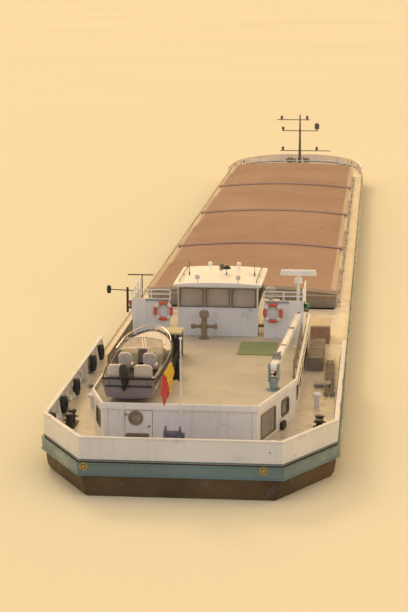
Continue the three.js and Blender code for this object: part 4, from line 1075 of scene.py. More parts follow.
def wheelhouse_door():
    """Window, handle and hinges of the side door."""
    low, high = span("wheelhouse_door")
    seal, fittings, pane = shapes(3)
    tall = high.z - 0.08 - GLASS["sill"]
    with placed(facing(high.x, (low.y + high.y) / 2, GLASS["sill"] + tall / 2, 90), seal, pane):
        opening = rounded(high.y - low.y - 0.16, tall, 0.03)
        seal.band(opening, seal_section(0.02, 0.03, 0.012, 0.052), looped=True)
        pane.box((-0.3, -0.37, -0.035), (0.3, 0.3, -0.025))
    with placed(move(high.x, low.y + 0.05, 2.2), fittings):
        fittings.pipe([(0, 0, 0), (0.05, 0, 0), (0.05, 0.12, 0)], 0.012)
    for z in (1.5, 2.85):
        fittings.bar((high.x, high.y, z - 0.05), (high.x, high.y, z + 0.05), 0.016)
    seal.piece("wheelhouse_door_seal", "black_paint", "rubber", "wheelhouse_door")
    pane.piece("wheelhouse_door_pane", "window_glass", "glass", "wheelhouse_door")
    fittings.piece("wheelhouse_door_fittings", "bright_steel", "steel", "wheelhouse_door")


def wheelhouse_blinds():
    """Slatted blinds let down behind the three aft windows, with their top rails."""
    blinds = Shape()
    y = CABIN_LOW.y + 0.1
    slats = 18
    pitch = (GLASS["head"] - GLASS["sill"]) / slats
    tilt = 0.55 * pitch
    for x in CABIN_WINDOWS:
        blinds.box((x - 0.43, y - 0.02, GLASS["head"]), (x + 0.43, y + 0.02, GLASS["head"] + 0.04))
        for slat in range(slats):
            z = GLASS["sill"] + (slat + 0.5) * pitch
            outline = [
                (y - 0.012, z - tilt), (y - 0.008, z - tilt), (y + 0.012, z + tilt), (y + 0.008, z + tilt),
            ]
            blinds.plate(outline, x - 0.43, x + 0.43, "x")
    blinds.piece("wheelhouse_blinds", "white_plastic", "blind")


def wheelhouse_roof_gear():
    """Searchlights, aerials, horn, grab rails and wipers on the wheelhouse."""
    lamps, faces, gear = shapes(3)
    for x, y, heading in SEARCHLIGHTS:
        with placed(facing(x, y, CABIN_TOP, heading), lamps, faces):
            lamps.bar((0, 0, 0), (0, 0.1, 0), 0.02)
            lamps.lathe([
                (0, -0.09), (0.05, -0.08), (0.085, -0.02), (0.09, 0.07), (0.08, 0.075), (0.075, 0.03),
                (0, 0.03),
            ], (0, 0.18, 0), steps=20)
            faces.lathe([(0, 0.04), (0.077, 0.04), (0.06, 0.062), (0, 0.07)], (0, 0.18, 0), steps=20)
    with placed(move(0, 14.2, CABIN_TOP), gear):
        for x, tall in AERIALS:
            gear.bar((x, 0, -0.02), (x, 0, 0.1), 0.025)
            gear.bar((x, 0, 0.1), (x, 0, tall), 0.011, 0.006)
        gear.dome(0.16, 0.13, (AERIALS[-1][0], 0, 0.25))
    with placed(move(-0.1, 15.2, CABIN_TOP), gear):
        gear.lathe([
            (0, -0.1), (0.03, -0.1), (0.025, 0.1), (0.09, 0.3), (0.1, 0.3), (0.04, 0.08), (0, 0.08),
        ], (0, 0, 0.08), (0, 1, 0.1), steps=20)
        gear.bar((0, 0, -0.02), (0, 0, 0.08), 0.02)
    with placed(move(0, 0, CABIN_TOP), gear):
        for x in (0.06 - CABIN_HIGH.x, CABIN_HIGH.x - 0.06):
            gear.pipe([(x, 12.8, 0.06), (x, 15.8, 0.06)], 0.016)
            for y in (12.8, 14.3, 15.8):
                gear.bar((x, y, -0.07), (x, y, 0.06), 0.012)
    for x in CABIN_WINDOWS:
        with placed(move(x - 0.2, CABIN_HIGH.y + 0.03, GLASS["head"] + 0.03), gear):
            gear.bar((0, 0, 0), (0, -0.03, 0), 0.025)
            gear.bar((0, 0, 0), (0.22, 0.0, -0.42), 0.01)
            gear.bar((0.12, -0.008, -0.22), (0.32, -0.008, -0.6), 0.008)
    lamps.piece("searchlight_cases", "white_paint", "white")
    faces.piece("searchlight_lenses", "white_plastic", "lamp")
    gear.piece("wheelhouse_roof_gear", "black_paint", "black")


def helm():
    """Displays on the console, with the wheel and levers."""
    low, high = span("helm_console")
    screens, levers = shapes(2)
    for x, width in ((-0.6, 0.34), (-0.15, 0.44), (0.36, 0.44), (0.74, 0.2)):
        with placed(move(x, high.y - 0.2, high.z + 0.02) @ turn(68, "X"), screens):
            screens.plate(rounded(width, 0.3, 0.02), -0.02, 0.02)
    with placed(move(0.1, low.y + 0.12, high.z - 0.08), levers):
        levers.ring(0.14, 0.014, axis=(0, -1, 0.6))
        for x, up in circle(1.0, 3):
            levers.bar((0, 0, 0), (0.14 * x, -0.07 * up, 0.12 * up), 0.01)
        levers.bar((0, 0, 0), (0, 0.14, -0.05), 0.02)
    for x in (-0.45, 0.5, 0.6):
        with placed(move(x, low.y, high.z), levers):
            levers.bar((0, 0.2, -0.12), (0, 0.16, 0.05), 0.012)
            levers.dome(0.025, 0.025, (0, 0.16, 0.05))
    screens.piece("helm_displays", "black_paint", "screen", bevel=0.006)
    levers.piece("helm_controls", "black_paint", "black")


def helm_chair():
    """A round foot with arm rests, and padded seat and back cushions."""
    low, high = span("helm_chair")
    y, z = (low.y + high.y) / 2, low.z
    frame_work = Shape()
    with placed(move(0, y, z), frame_work):
        foot = [(0, 0), (0.25, 0), (0.25, 0.02), (0.06, 0.05), (0.05, 0.4), (0.1, 0.46), (0, 0.46)]
        frame_work.lathe(foot, steps=28)
        for side in BOTH:
            arm = side * 0.29
            frame_work.pipe([(side * 0.28, -0.12, 0.5), (arm, -0.12, 0.74), (arm, 0.16, 0.76)], 0.016)
    frame_work.piece("helm_chair_frame", "seat_leather", "black", replaces=["helm_chair"])
    cushion("helm_seat_cushion", (0, y + 0.02, z + 0.54), (0.27, 0.27, 0.075))
    cushion("helm_back_cushion", (0, y - 0.23, z + 0.86), (0.24, 0.065, 0.28))


def cushion(name, middle, half):
    """A crowned pad whose sides pull in between its corners, with a sewn channel across it."""
    shape = Shape()
    rings = []
    rows = 10
    flat = min(range(3), key=lambda axis: half[axis])
    first, second = (axis for axis in range(3) if axis != flat)
    for row in range(rows + 1):
        height = math.cos(math.pi * row / rows)
        reach = max(1 - abs(height) ** 3, 0.02) ** 0.4
        ring = []
        for a, b in circle(1.0, 32):
            square = (abs(a) ** 5 + abs(b) ** 5) ** (-0.2)
            point = [0.0, 0.0, 0.0]
            point[first] = half[first] * reach * square * a
            point[second] = half[second] * reach * square * b
            channel = 1 - 0.22 * math.exp(-((reach * square * b) ** 2) / 0.01)
            point[flat] = half[flat] * height * channel * (1 - 0.25 * (reach * square * 0.8) ** 4)
            ring.append([place + start for place, start in zip(point, middle)])
        rings.append(ring)
    shape.loft(rings)
    return shape.piece(name, "seat_leather", "leather", angle=60)


def radar_hood():
    """The scanner's roof shaped top."""
    low, high = span("radar_scanner")
    hood = Shape()
    reach = (high.x - low.x) / 2 - 0.03
    with placed(move((low.x + high.x) / 2, (low.y + high.y) / 2, high.z), hood):
        outline = [(-0.1, -0.03), (0.1, -0.03), (0.07, 0.06), (0.0, 0.075), (-0.07, 0.06)]
        hood.plate(outline, -reach, reach, "x")
    hood.piece("radar_scanner_hood", "white_plastic", "radar", "radar_scanner", bevel=0.015)


def wings():
    """Handrails, sidelights, cable trunks and seams of the bridge wings, and two aerials to port."""
    low, high = span("wing_screen_starboard")
    aft = low.y + 0.02
    rails, boards, dark, trim = shapes(4)
    for name, side in SIDES.items():
        out, inner = side * (high.x - 0.02), side * low.x
        railing(rails, [(inner, aft, high.z), (out, aft, high.z), (out, high.y, high.z)], 0.32, step=0.85)
        with placed(facing(out, aft + 0.5, high.z - 0.28, side * 90), dark):
            dark.plate(rounded(0.5, 0.3, 0.03), 0.0, 0.05)
            dark.box((-0.25, -0.17, 0.05), (0.25, -0.15, 0.2))
        lamp = Shape()
        lamp.lathe([
            (0, -0.09), (0.06, -0.09), (0.07, -0.05), (0.07, 0.05), (0.06, 0.09), (0, 0.09),
        ], (out + side * 0.12, aft + 0.5, high.z - 0.27), steps=20)
        lamp.piece(f"sidelight_{name}", "white_plastic", "green" if side > 0 else "red")
        for x in (0.4, 0.9):
            place = facing(inner + side * x, low.y, 0, ASTERN)
            seam(trim, place, low.z + 0.02, high.z - 0.02, 0.01, 0.01)
        boards.box(
            (out - side * 0.5, aft - 0.06, high.z - 0.09), (inner + side * 0.05, aft - 0.022, high.z - 0.02),
        )
    with placed(move(-high.x, 13.5, 0), dark):
        dark.bar((-0.3, 0, 1.9), (-0.3, 0, 2.85), 0.045)
        dark.bar((0, 0, 2.3), (-0.3, 0, 2.3), 0.025)
        dark.bar((0, 0, 2.72), (-1.0, 0, 2.76), 0.018)
        dark.lathe([
            (0, -0.16), (0.07, -0.14), (0.09, 0.0), (0.07, 0.14), (0, 0.16),
        ], (-1.0, 0, 2.76), steps=16)
    with placed(move(-high.x, 13.9, 0), dark):
        dark.bar((0.2, 0, 1.3), (0.2, 0, 3.26), 0.02)
        dark.bar((-0.35, 0, 3.26), (0.62, 0, 3.26), 0.022)
    rails.piece("wing_handrails", "white_paint", "white")
    boards.piece("wing_cable_trunks", "grey_paint", "grey", bevel=0.006)
    trim.piece("wing_seams", "white_paint", "white")
    dark.piece("wing_lamp_boxes_and_aerials", "black_paint", "black")


def lifebuoys():
    """Orange rings with four white bands, on hooks, each in place of its CAD ring."""
    hooks = Shape()
    for name in SIDES:
        node = f"lifebuoy_{name}"
        low, high = span(node)
        middle = (low + high) / 2
        tube = (high.y - low.y) / 2
        radius = (high.x - low.x) / 2 - tube
        ring, bands = shapes(2)
        with placed(move(*middle), ring, bands, hooks):
            ring.ring(radius, tube, axis=AHEAD, steps=48, sides=16)
            for quarter in range(4):
                angles = [math.radians(90 * quarter + 45 + step) for step in range(-14, 15, 4)]
                path = [(radius * math.cos(angle), 0, radius * math.sin(angle)) for angle in angles]
                bands.pipe(path, tube * 1.04, sides=16)
            for x in (-0.12, 0.12):
                hooks.pipe([(x, tube + 0.01, 0.2), (x, -tube - 0.01, 0.2), (x, -tube - 0.02, 0.27)], 0.01)
        ring.piece(f"{node}_ring", "lifebuoy_plastic", "orange", replaces=[node])
        bands.piece(f"{node}_bands", "lifebuoy_plastic", "white plastic")
    hooks.piece("lifebuoy_hooks", "bright_steel", "zinc")


# Roof gear


def ventilator():
    """Mushroom vent with two side arms, on the roof behind the wheelhouse."""
    low, high = span("roof_ventilator")
    tall = high.z - low.z
    shape = Shape()
    with placed(move((low.x + high.x) / 2, (low.y + high.y) / 2, low.z), shape):
        shape.lathe([(0, 0), (0.2, 0), (0.2, 0.03), (0.11, 0.04), (0.1, 0.8), (0, 0.8)], steps=28)
        shape.lathe([
            (0, 0.78), (0.12, 0.78), (0.18, tall - 0.25), (0.18, tall - 0.1), (0.14, tall - 0.03), (0, tall),
        ], steps=28)
        for side in BOTH:
            shape.bar((0, 0, 0.46), (side * 0.42, 0, 0.46), 0.055)
            shape.ring(0.07, 0.02, (side * 0.14, 0, 0.46), ACROSS)
            cowl = [(0, -0.09), (0.08, -0.08), (0.09, 0.02), (0.06, 0.08), (0, 0.1)]
            shape.lathe(cowl, (side * 0.41, 0, 0.46), steps=20)
    shape.piece("ventilator_cowls", "black_paint", "rail", replaces=["roof_ventilator"])


def roof_mat():
    """Green mat with slight ripples, laid on the roof."""
    low, high = span("roof_mat")
    shape = Shape()
    columns, rows = 24, 36
    points = []
    for level in (0.0, 0.012):
        for row in range(rows + 1):
            for column in range(columns + 1):
                x = low.x + (high.x - low.x) * column / columns
                y = low.y + (high.y - low.y) * row / rows
                ripple = 0.006 * (1 + math.sin(7.0 * x + 2.2 * y) * math.sin(3.1 * y))
                points.append((x, y, low.z + ripple + level))
    layer = (rows + 1) * (columns + 1)
    faces = []
    for face in grid_faces(columns, rows):
        faces += [face[::-1], tuple(i + layer for i in face)]
    edge = list(range(columns))
    edge += [row * (columns + 1) + columns for row in range(rows)]
    edge += [rows * (columns + 1) + column for column in range(columns, 0, -1)]
    edge += [row * (columns + 1) for row in range(rows, 0, -1)]
    for here, there in zip(edge, edge[1:] + edge[:1]):
        faces.append((here, there, there + layer, here + layer))
    shape.add(points, faces)
    mat = shape.piece("green_roof_mat", "mat_fabric", "mat", replaces=["roof_mat"])


def grid_faces(columns, rows):
    """Faces of a grid whose points are listed row by row."""
    corners = [row * (columns + 1) + column for row in range(rows) for column in range(columns)]
    return [(i, i + 1, i + columns + 2, i + columns + 1) for i in corners]


def boom_axes():
    """Axes along the boom from its pin, Y to the tip, with its length."""
    axis = JOINTS["boom_luff"]["axis"]
    high = span("crane_boom")[1]
    pin = pin_of("boom_luff")
    reach, rise = high.y - pin.y, high.z - 0.08 - pin.z
    heading = Matrix.Rotation(-math.atan2(-axis[1], axis[0]), 4, "Z")
    return move(*pin) @ heading @ Matrix.Rotation(math.atan2(rise, reach), 4, "X"), reach


def crane():
    """Winch, straps, sheave and wire on the boom, and the bolts of the pillar's foot."""
    gear, dark, wire, bolts = shapes(4)
    boom, long = boom_axes()
    with placed(boom, gear, dark, wire):
        gear.box((-0.15, 0.55, 0.09), (0.15, 0.95, 0.13))
        gear.lathe([
            (0, -0.13), (0.11, -0.13), (0.11, -0.1), (0.07, -0.1), (0.07, 0.1), (0.11, 0.1), (0.11, 0.13),
            (0, 0.13),
        ], (0, 0.75, 0.24), ACROSS)
        strap = [(-0.06, -0.12), (-0.06, 0.12), (0.06, 0.12), (0.06, -0.12)]
        for distance in (2.4, 4.7):
            gear.band([(0.1, distance, 0), (-0.1, distance, 0)], strap)
        sheave = [(0, -0.03), (0.1, -0.03), (0.085, 0.0), (0.1, 0.03), (0, 0.03)]
        dark.lathe(sheave, (0, long - 0.05, 0.02), ACROSS)
        for x in (-0.05, 0.04):
            dark.box((x, long - 0.2, -0.1), (x + 0.01, long + 0.02, 0.1))
        dark.bar((-0.06, long - 0.05, 0.02), (0.06, long - 0.05, 0.02), 0.015)
        wire.bar((0, 0.75, 0.32), (0, long - 0.05, 0.12), 0.008, sides=6)
    pin = pin_of("boom_luff")
    with placed(move(pin.x, pin.y, ROOF), bolts):
        for x, y in circle(0.215, 12):
            bolts.dome(0.018, 0.02, (x, y, 0.043), steps=8, rows=2)
        bolts.ring(0.165, 0.02, (0, 0, 0.07), steps=36)
    gear.piece("boom_winch_and_straps", "white_paint", "grey", "crane_boom", bevel=0.006)
    dark.piece("boom_sheave", "black_paint", "black", "crane_boom")
    wire.piece("boom_wire", "bright_steel", "zinc", "crane_boom")
    bolts.piece("crane_foot_bolts", "bright_steel", "zinc")


# Ship's boat, in axes that start at the foot of its transom
BOAT_AXES = move(BOAT_X, BOAT_TRANSOM, BOAT_LOW.z)


def boat_stations(parts):
    """The boat's rows with more put between them on a Catmull-Rom curve, so that they give a fair shape."""
    rows = []
    last = len(BOAT_ROWS) - 1
    for i in range(last):
        four = [BOAT_ROWS[min(max(k, 0), last)] for k in (i - 1, i, i + 1, i + 2)]
        for t in (part / parts for part in range(parts)):
            rows.append([
                q + 0.5 * t * (r - p + t * (2 * p - 5 * q + 4 * r - s + t * (3 * q - p - 3 * r + s)))
                for p, q, r, s in zip(*four)
            ])
    return rows + [list(BOAT_ROWS[-1])]


def boat_section(row, inset=0.0, forward=0.0):
    """Points of one station from the port gunwale round the keel to the starboard gunwale."""
    along, gunwale, chine, keel, rise, top = row
    foot = keel + rise
    half = [
        (gunwale, top), (gunwale - 0.02, 0.4 * foot + 0.6 * top),
        (0.45 * gunwale + 0.55 * chine, 0.75 * foot + 0.25 * top),
        (chine, foot), (chine * 0.5, keel + rise * 0.4),
    ]
    half = [(max(x - inset, 0.01), z + (inset if z < top else 0)) for x, z in half]
    outline = [(-x, z) for x, z in half] + [(0.0, keel + inset)] + half[::-1]
    return [(x, along * BOAT_LONG + forward, z) for x, z in outline]


def boat_hull():
    """Hull with its transom, a rubber gunwale, dark stripes and lifting eyes."""
    rows = boat_stations(3)
    hull, stripe, rail = shapes(3)
    with placed(BOAT_AXES, hull, stripe, rail):
        hull.loft([boat_section(row) + boat_section(row, 0.05)[::-1] for row in rows])
        hull.loft([boat_section(rows[0], 0.0, forward) for forward in (0.001, 0.06)])
        rail.pipe([(-0.8, -0.005, 0.68), (0.8, -0.005, 0.68)], 0.035)
        for side in BOTH:
            rail.pipe([(side * (row[1] + 0.005), row[0] * BOAT_LONG, row[5]) for row in rows], 0.035)
            rail.pipe([(side * 0.6, 0.0, 0.45), (side * 0.6, 0.0, 0.56)], 0.012)
            for share, thick in ((0.62, 0.01), (0.8, 0.025)):
                line = [(side * (row[1] + 0.003), row[0] * BOAT_LONG, row[5] * share) for row in rows[:-2]]
                stripe.pipe(line, thick, sides=6)
        stripe.box((-0.74, -0.012, 0.4), (0.74, 0.0, 0.46))
    hull.piece("boat_hull", "boat_plastic", "boat blue", angle=38, replaces=["ships_boat"])
    rail.piece("boat_gunwale", "boat_plastic", "rubber")
    stripe.piece("boat_stripes", "boat_plastic", "boat dark")


def boat_decks():
    """Crowned foredeck with a hatch, narrow side decks, and a sole with ribs."""
    deck, sole = shapes(2)
    with placed(BOAT_AXES, deck, sole):
        rings = []
        shares = [step / 4 for step in range(-4, 5)]
        for along, gunwale, *_, top in boat_stations(4):
            if along >= 0.62:
                half, y, z = max(gunwale - 0.045, 0.012), along * BOAT_LONG, top - 0.01
                crown = [(half * share, y, z + 0.05 * half * (1 - share ** 2)) for share in shares]
                rings.append(crown + [(half, y, z - 0.04), (-half, y, z - 0.04)])
        deck.loft(rings)
        left, aft, edge = rings[0][0]
        deck.box((left, aft - 0.03, 0.3), (-left, aft + 0.01, edge))
        deck.plate(rounded(0.5, 0.5, 0.1, at=(0, 3.9)), 0.8, 0.85)
        for side in BOTH:
            deck.box((side * 0.62, 0.08, 0.34), (side * 0.86, 3.8, 0.42))
        sole.loft([
            [(-half, y, 0.22), (half, y, 0.22), (half, y, 0.26), (-half, y, 0.26)]
            for half, y in ((0.6, 0.07), (0.66, 0.8), (0.68, 2.2), (0.62, 3.87))
        ])
        for step in range(9):
            sole.box((-0.5, 0.6 + 0.35 * step, 0.26), (0.5, 0.63 + 0.35 * step, 0.266))
    deck.piece("boat_deck", "boat_plastic", "boat white", bevel=0.012, angle=40)
    sole.piece("boat_sole", "boat_plastic", "boat dark", bevel=0.004)


def boat_seats():
    """A stern bench in two parts, and two bucket seats behind the console."""
    seats = Shape()
    with placed(BOAT_AXES, seats):
        for x, wide in ((0.44, 0.58), (-0.44, 0.5)):
            seats.plate(rounded(wide, 0.5, 0.12, at=(x, 0.42)), 0.5, 0.62)
            seats.plate(rounded(wide - 0.1, 0.4, 0.08, at=(x, 0.42)), 0.26, 0.5)
            with placed(move(x, 0.18, 0.62) @ turn(8, "X"), seats):
                seats.plate(rounded(wide, 0.5, 0.14, at=(0, 0.24)), -0.06, 0.06, "y")
        for x in (0.4, -0.4):
            seats.plate(rounded(0.46, 0.46, 0.12, at=(x, 2.3)), 0.56, 0.66)
            with placed(move(x, 2.08, 0.66) @ turn(10, "X"), seats):
                seats.plate(rounded(0.44, 0.42, 0.14, at=(0, 0.2)), -0.05, 0.05, "y")
    seats.piece("boat_seats", "boat_plastic", "boat white", bevel=0.03, angle=50)


def boat_console():
    """Console in two halves, its windscreen, the wheel, cleats and the bow rail."""
    console, glazing, metalwork = shapes(3)
    with placed(BOAT_AXES, console, glazing, metalwork):
        helm_side = [(3.05, 0.27), (3.1, 0.78), (3.2, 0.86), (3.52, 0.9), (3.78, 0.82), (3.85, 0.27)]
        console.plate(helm_side, 0.16, 0.7, "x")
        console.plate([(3.2, 0.27), (3.25, 0.78), (3.4, 0.86), (3.78, 0.82), (3.85, 0.27)], -0.7, -0.16, "x")
        for side in BOTH:
            pane = [(0.06, 3.82, 0.86), (0.72, 3.62, 0.86), (0.66, 3.44, 1.2), (0.06, 3.6, 1.24)]
            wing = [(0.74, 3.6, 0.86), (0.84, 3.0, 0.84), (0.8, 2.9, 1.02), (0.68, 3.42, 1.2)]
            pane, wing = ([(side * x, y, z) for x, y, z in points] for points in (pane, wing))
            glazing.loft([pane, [(x, y + 0.015, z) for x, y, z in pane]])
            glazing.loft([wing, [(x - side * 0.015, y, z) for x, y, z in wing]])
            metalwork.pipe([*pane[1:], (0, 3.61, 1.24)], 0.016)
            metalwork.pipe([*wing[:3], pane[2]], 0.014)
            metalwork.bar((side * 0.6, 4.5, 0.83), (side * 0.6, 4.62, 0.83), 0.018)
        metalwork.bar((0, 3.82, 0.84), (0, 3.6, 1.24), 0.016)
        metalwork.ring(0.17, 0.014, (0.43, 2.98, 0.88), (0, -1, 0.5))
        metalwork.bar((0.43, 3.12, 0.8), (0.43, 2.98, 0.88), 0.02)
        rail = bow_rail_path()
        metalwork.pipe(rail, 0.018)
        for x, y, z in rail[1:-1:3]:
            metalwork.bar((x * 0.96, y - 0.03, 0.84), (x, y, z), 0.012)
    console.piece("boat_console", "boat_plastic", "beige", bevel=0.03, angle=40)
    glazing.piece("boat_windscreen", "window_glass", "glass")
    metalwork.piece("boat_metalwork", "bright_steel", "steel")


def bow_rail_path():
    """The pulpit round the boat's foredeck, a hand's breadth above the gunwale."""
    half = [
        (row[1] - 0.05, row[0] * BOAT_LONG, row[5] + 0.2) for row in boat_stations(3) if 0.66 < row[0] < 0.97
    ]
    tip = (0.0, 0.985 * BOAT_LONG, BOAT_ROWS[-1][5] + 0.2)
    return half + [tip] + [(-x, y, z) for x, y, z in reversed(half)]


def outboard():
    """Motor on the boat's transom: cowl, leg, bracket and tiller."""
    cowl, leg = shapes(2)
    # Height, half breadth and half length of the cowl, then height and size of the leg
    cowl_rows = (
        (0.0, 0.1, 0.15), (0.04, 0.135, 0.2), (0.2, 0.15, 0.23), (0.36, 0.145, 0.22), (0.46, 0.11, 0.17),
        (0.5, 0.05, 0.09),
    )
    leg_rows = ((0.0, 1.0), (-0.12, 0.8), (-0.4, 0.55))
    with placed(move(BOAT_X - 0.12, BOAT_TRANSOM - 0.14, BOAT_LOW.z + 0.72), cowl, leg):
        cowl.loft([
            [(x, y - 0.2 * z, z) for x, y in rounded(2 * half, 2 * deep, 0.8 * half, 5)]
            for z, half, deep in cowl_rows
        ])
        leg.loft([
            [(x, y, z) for x, y in rounded(0.16 * size, 0.3 * size, 0.06 * size)] for z, size in leg_rows
        ])
        leg.box((-0.11, 0.06, -0.2), (0.11, 0.16, 0.0))
        leg.box((-0.08, -0.2, -0.28), (0.08, 0.12, -0.265))
        leg.bar((0.05, 0.1, 0.1), (0.1, 0.65, 0.22), 0.02)
        leg.bar((0.1, 0.62, 0.213), (0.115, 0.8, 0.25), 0.028)
    cowl.piece("outboard_cowl", "black_paint", "black", bevel=0.01, angle=60)
    leg.piece("outboard_leg", "black_paint", "rubber", bevel=0.006)


# Flag


def flag_finish():
    def stripes(finish):
        fly = finish.add("ShaderNodeAttribute", attribute_name="fly").outputs["Fac"]
        first = finish.blend(fly, 0.331, 0.335, *FLAG_STRIPES[:2])
        return finish.blend(fly, 0.664, 0.668, first, FLAG_STRIPES[2])
    return cloth("flag cloth", stripes, thread=0.012)


def flag():
    """Striped flag that a short cloth simulation hangs from the staff, and its ties."""
    high, long, columns, rows = (FLAG[name] for name in ("high", "long", "columns", "rows"))
    top = span("ensign")[1].z
    staff_y = span("ensign")[1].y - 0.04
    x, y = STAFF.x - 0.045, staff_y
    points = [
        (x - 0.25 * long * column / columns, y - 0.95 * long * column / columns, top - high * row / rows)
        for row in range(rows + 1) for column in range(columns + 1)
    ]
    data = bpy.data.meshes.new("stern_flag")
    data.from_pydata(points, [], grid_faces(columns, rows))
    fly = data.attributes.new("fly", "FLOAT", "POINT")
    fly.data.foreach_set("value", [column / columns for column in range(columns + 1)] * (rows + 1))
    item = link("stern_flag", data)
    settle(item, [row * (columns + 1) for row in range(rows + 1)])
    data.transform(TO_MODEL)
    data.materials.append(flag_finish())
    item.modifiers.new("fine", "SUBSURF").render_levels = 1
    thick = item.modifiers.new("thickness", "SOLIDIFY")
    thick.thickness = 0.006 * SCALE
    thick.offset = 0
    item.modifiers.new("shading", "NODES").node_group = smoothing(60)
    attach(item, "hull")
    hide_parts("ensign")
    ties = Shape()
    for z in (top - 0.03, top - high + 0.03):
        ties.ring(0.034, 0.009, (STAFF.x, staff_y, z), steps=12, sides=6)
    ties.piece("flag_ties", "bright_steel", "zinc")


def settle(item, held):
    """Lets a cloth hang from its held points in light air from the starboard bow."""
    scene = bpy.context.scene
    item.vertex_groups.new(name="held").add(held, 1.0, "REPLACE")
    modifier = item.modifiers.new("cloth", "CLOTH")
    cloth_settings = {
        "quality": 8, "mass": 0.12, "tension_stiffness": 30, "compression_stiffness": 30,
        "shear_stiffness": 12, "bending_stiffness": 0.4, "air_damping": 1.5, "vertex_group_mass": "held",
    }
    for name, value in cloth_settings.items():
        setattr(modifier.settings, name, value)
    modifier.collision_settings.use_self_collision = True
    modifier.collision_settings.self_distance_min = 0.015
    gravity = tuple(scene.gravity)
    scene.gravity = FLAG["pull"]
    modifier.point_cache.frame_end = FLAG["frames"]
    for step in range(1, FLAG["frames"] + 1):
        scene.frame_set(step)
    shape = item.evaluated_get(bpy.context.evaluated_depsgraph_get()).to_mesh()
    places = [vertex.co.copy() for vertex in shape.vertices]
    item.modifiers.remove(modifier)
    for vertex, place in zip(item.data.vertices, places):
        vertex.co = place
    item.vertex_groups.clear()
    scene.gravity = gravity
    scene.frame_set(1)


# Deck gear aft


def roof_railings():
    """Upright bars between the solid rails on both edges of the roof, and feet under the posts."""
    bars = Shape()
    for name in SIDES:
        low, high = span(f"roof_railing_{name}")
        x = (low.x + high.x) / 2
        path = [(x, low.y + 0.03, 0.0), (x, high.y - 0.03, 0.0)]
        for point in spaced(path, 0.115):
            bars.bar((x, point.y, low.z + 0.12), (x, point.y, high.z - 0.03), 0.009, sides=5)
        for point in spaced(path, (high.y - low.y) / 4):
            bars.bar((x, point.y, low.z), (x, point.y, low.z + 0.02), 0.06)
    bars.piece("roof_railing_bars", "mast_paint", "rail")


def slab(shape, low, high, bottom, top, radius, inset=0.0):
    """A plate with round corners between two corners in plan and two heights."""
    middle = ((low.x + high.x) / 2, (low.y + high.y) / 2)
    width, long = high.x - low.x - 2 * inset, high.y - low.y - 2 * inset
    shape.plate(rounded(width, long, radius, at=middle), bottom, top)


def lockers():
    """Lockers on the roof and the deck, each with its lid and two latches."""
    latches = Shape()
    # Node, inset under the lid, corners of body and lid, latches' place and sizes, then the body's looks
    rows = (
        ("roof_locker", 0.025, 0.05, 0.05, 0.3, 0.03, (0.01, 0.03, 0.18), ("black_paint", "black"), 0.01),
        ("deck_locker", 0.04, 0.03, 0.04, 0.4, 0.04, (0.012, 0.05, 0.2), ("hatch_paint", "locker"), 0.012),
    )
    for node, inset, corner, lid_corner, place, half, (out, back, down), looks, bevel in rows:
        low, high = span(node)
        body, lid = shapes(2)
        slab(body, low, high, low.z, high.z - 0.08, corner, inset)
        slab(lid, low, high, high.z - 0.08, high.z, lid_corner)
        for x in ((low.x + high.x) / 2 - place, (low.x + high.x) / 2 + place):
            latches.box((x - half, low.y - out, high.z - down), (x + half, low.y + back, high.z - 0.06))
        body.piece(f"{node}_body", *looks, bevel=bevel, replaces=[node])
        lid.piece(f"{node}_lid", "roof_paint", "beige", bevel=0.02)
    latches.piece("locker_latches", "bright_steel", "zinc", bevel=0.004)


def deck_box():
    """Long box on the side deck with three straps."""
    box, straps = shapes(2)
    low, high = span("deck_box")
    slab(box, low, high, low.z, high.z, 0.05)
    for share in (0.2, 0.5, 0.8):
        y = low.y + share * (high.y - low.y)
        straps.box((low.x - 0.012, y - 0.04, 0.3), (high.x + 0.012, y + 0.04, high.z + 0.012))
    box.piece("deck_box_body", "blue_paint", "box", bevel=0.008, replaces=["deck_box"])
    straps.piece("deck_box_straps", "grey_paint", "timber", bevel=0.004)


def stern_winch():
    """Small mooring winch between the house and the stern bulwark."""
    winch = Shape()
    with placed(move(-0.34, 1.0, 0.003) @ Matrix.Diagonal((0.85, 1.0, 1.0, 1.0)), winch):
        winch.plate(rounded(0.9, 0.62, 0.05), 0.0, 0.06)
        for x in (-0.3, 0.3):
            winch.plate([(-0.22, 0.05), (0.22, 0.05), (0.1, 0.77), (-0.1, 0.77)], x - 0.02, x + 0.02, "x")
        winch.lathe([
            (0, -0.28), (0.3, -0.28), (0.3, -0.24), (0.15, -0.22), (0.15, 0.22), (0.3, 0.24), (0.3, 0.28),
            (0, 0.28),
        ], (0, 0, 0.6), ACROSS, steps=28)
        winch.bar((0.28, 0, 0.6), (0.44, 0, 0.6), 0.1)
        winch.box((0.32, -0.14, 0.05), (0.44, 0.14, 0.54))
    winch.piece("stern_winch", "blue_paint", "slate", bevel=0.008)


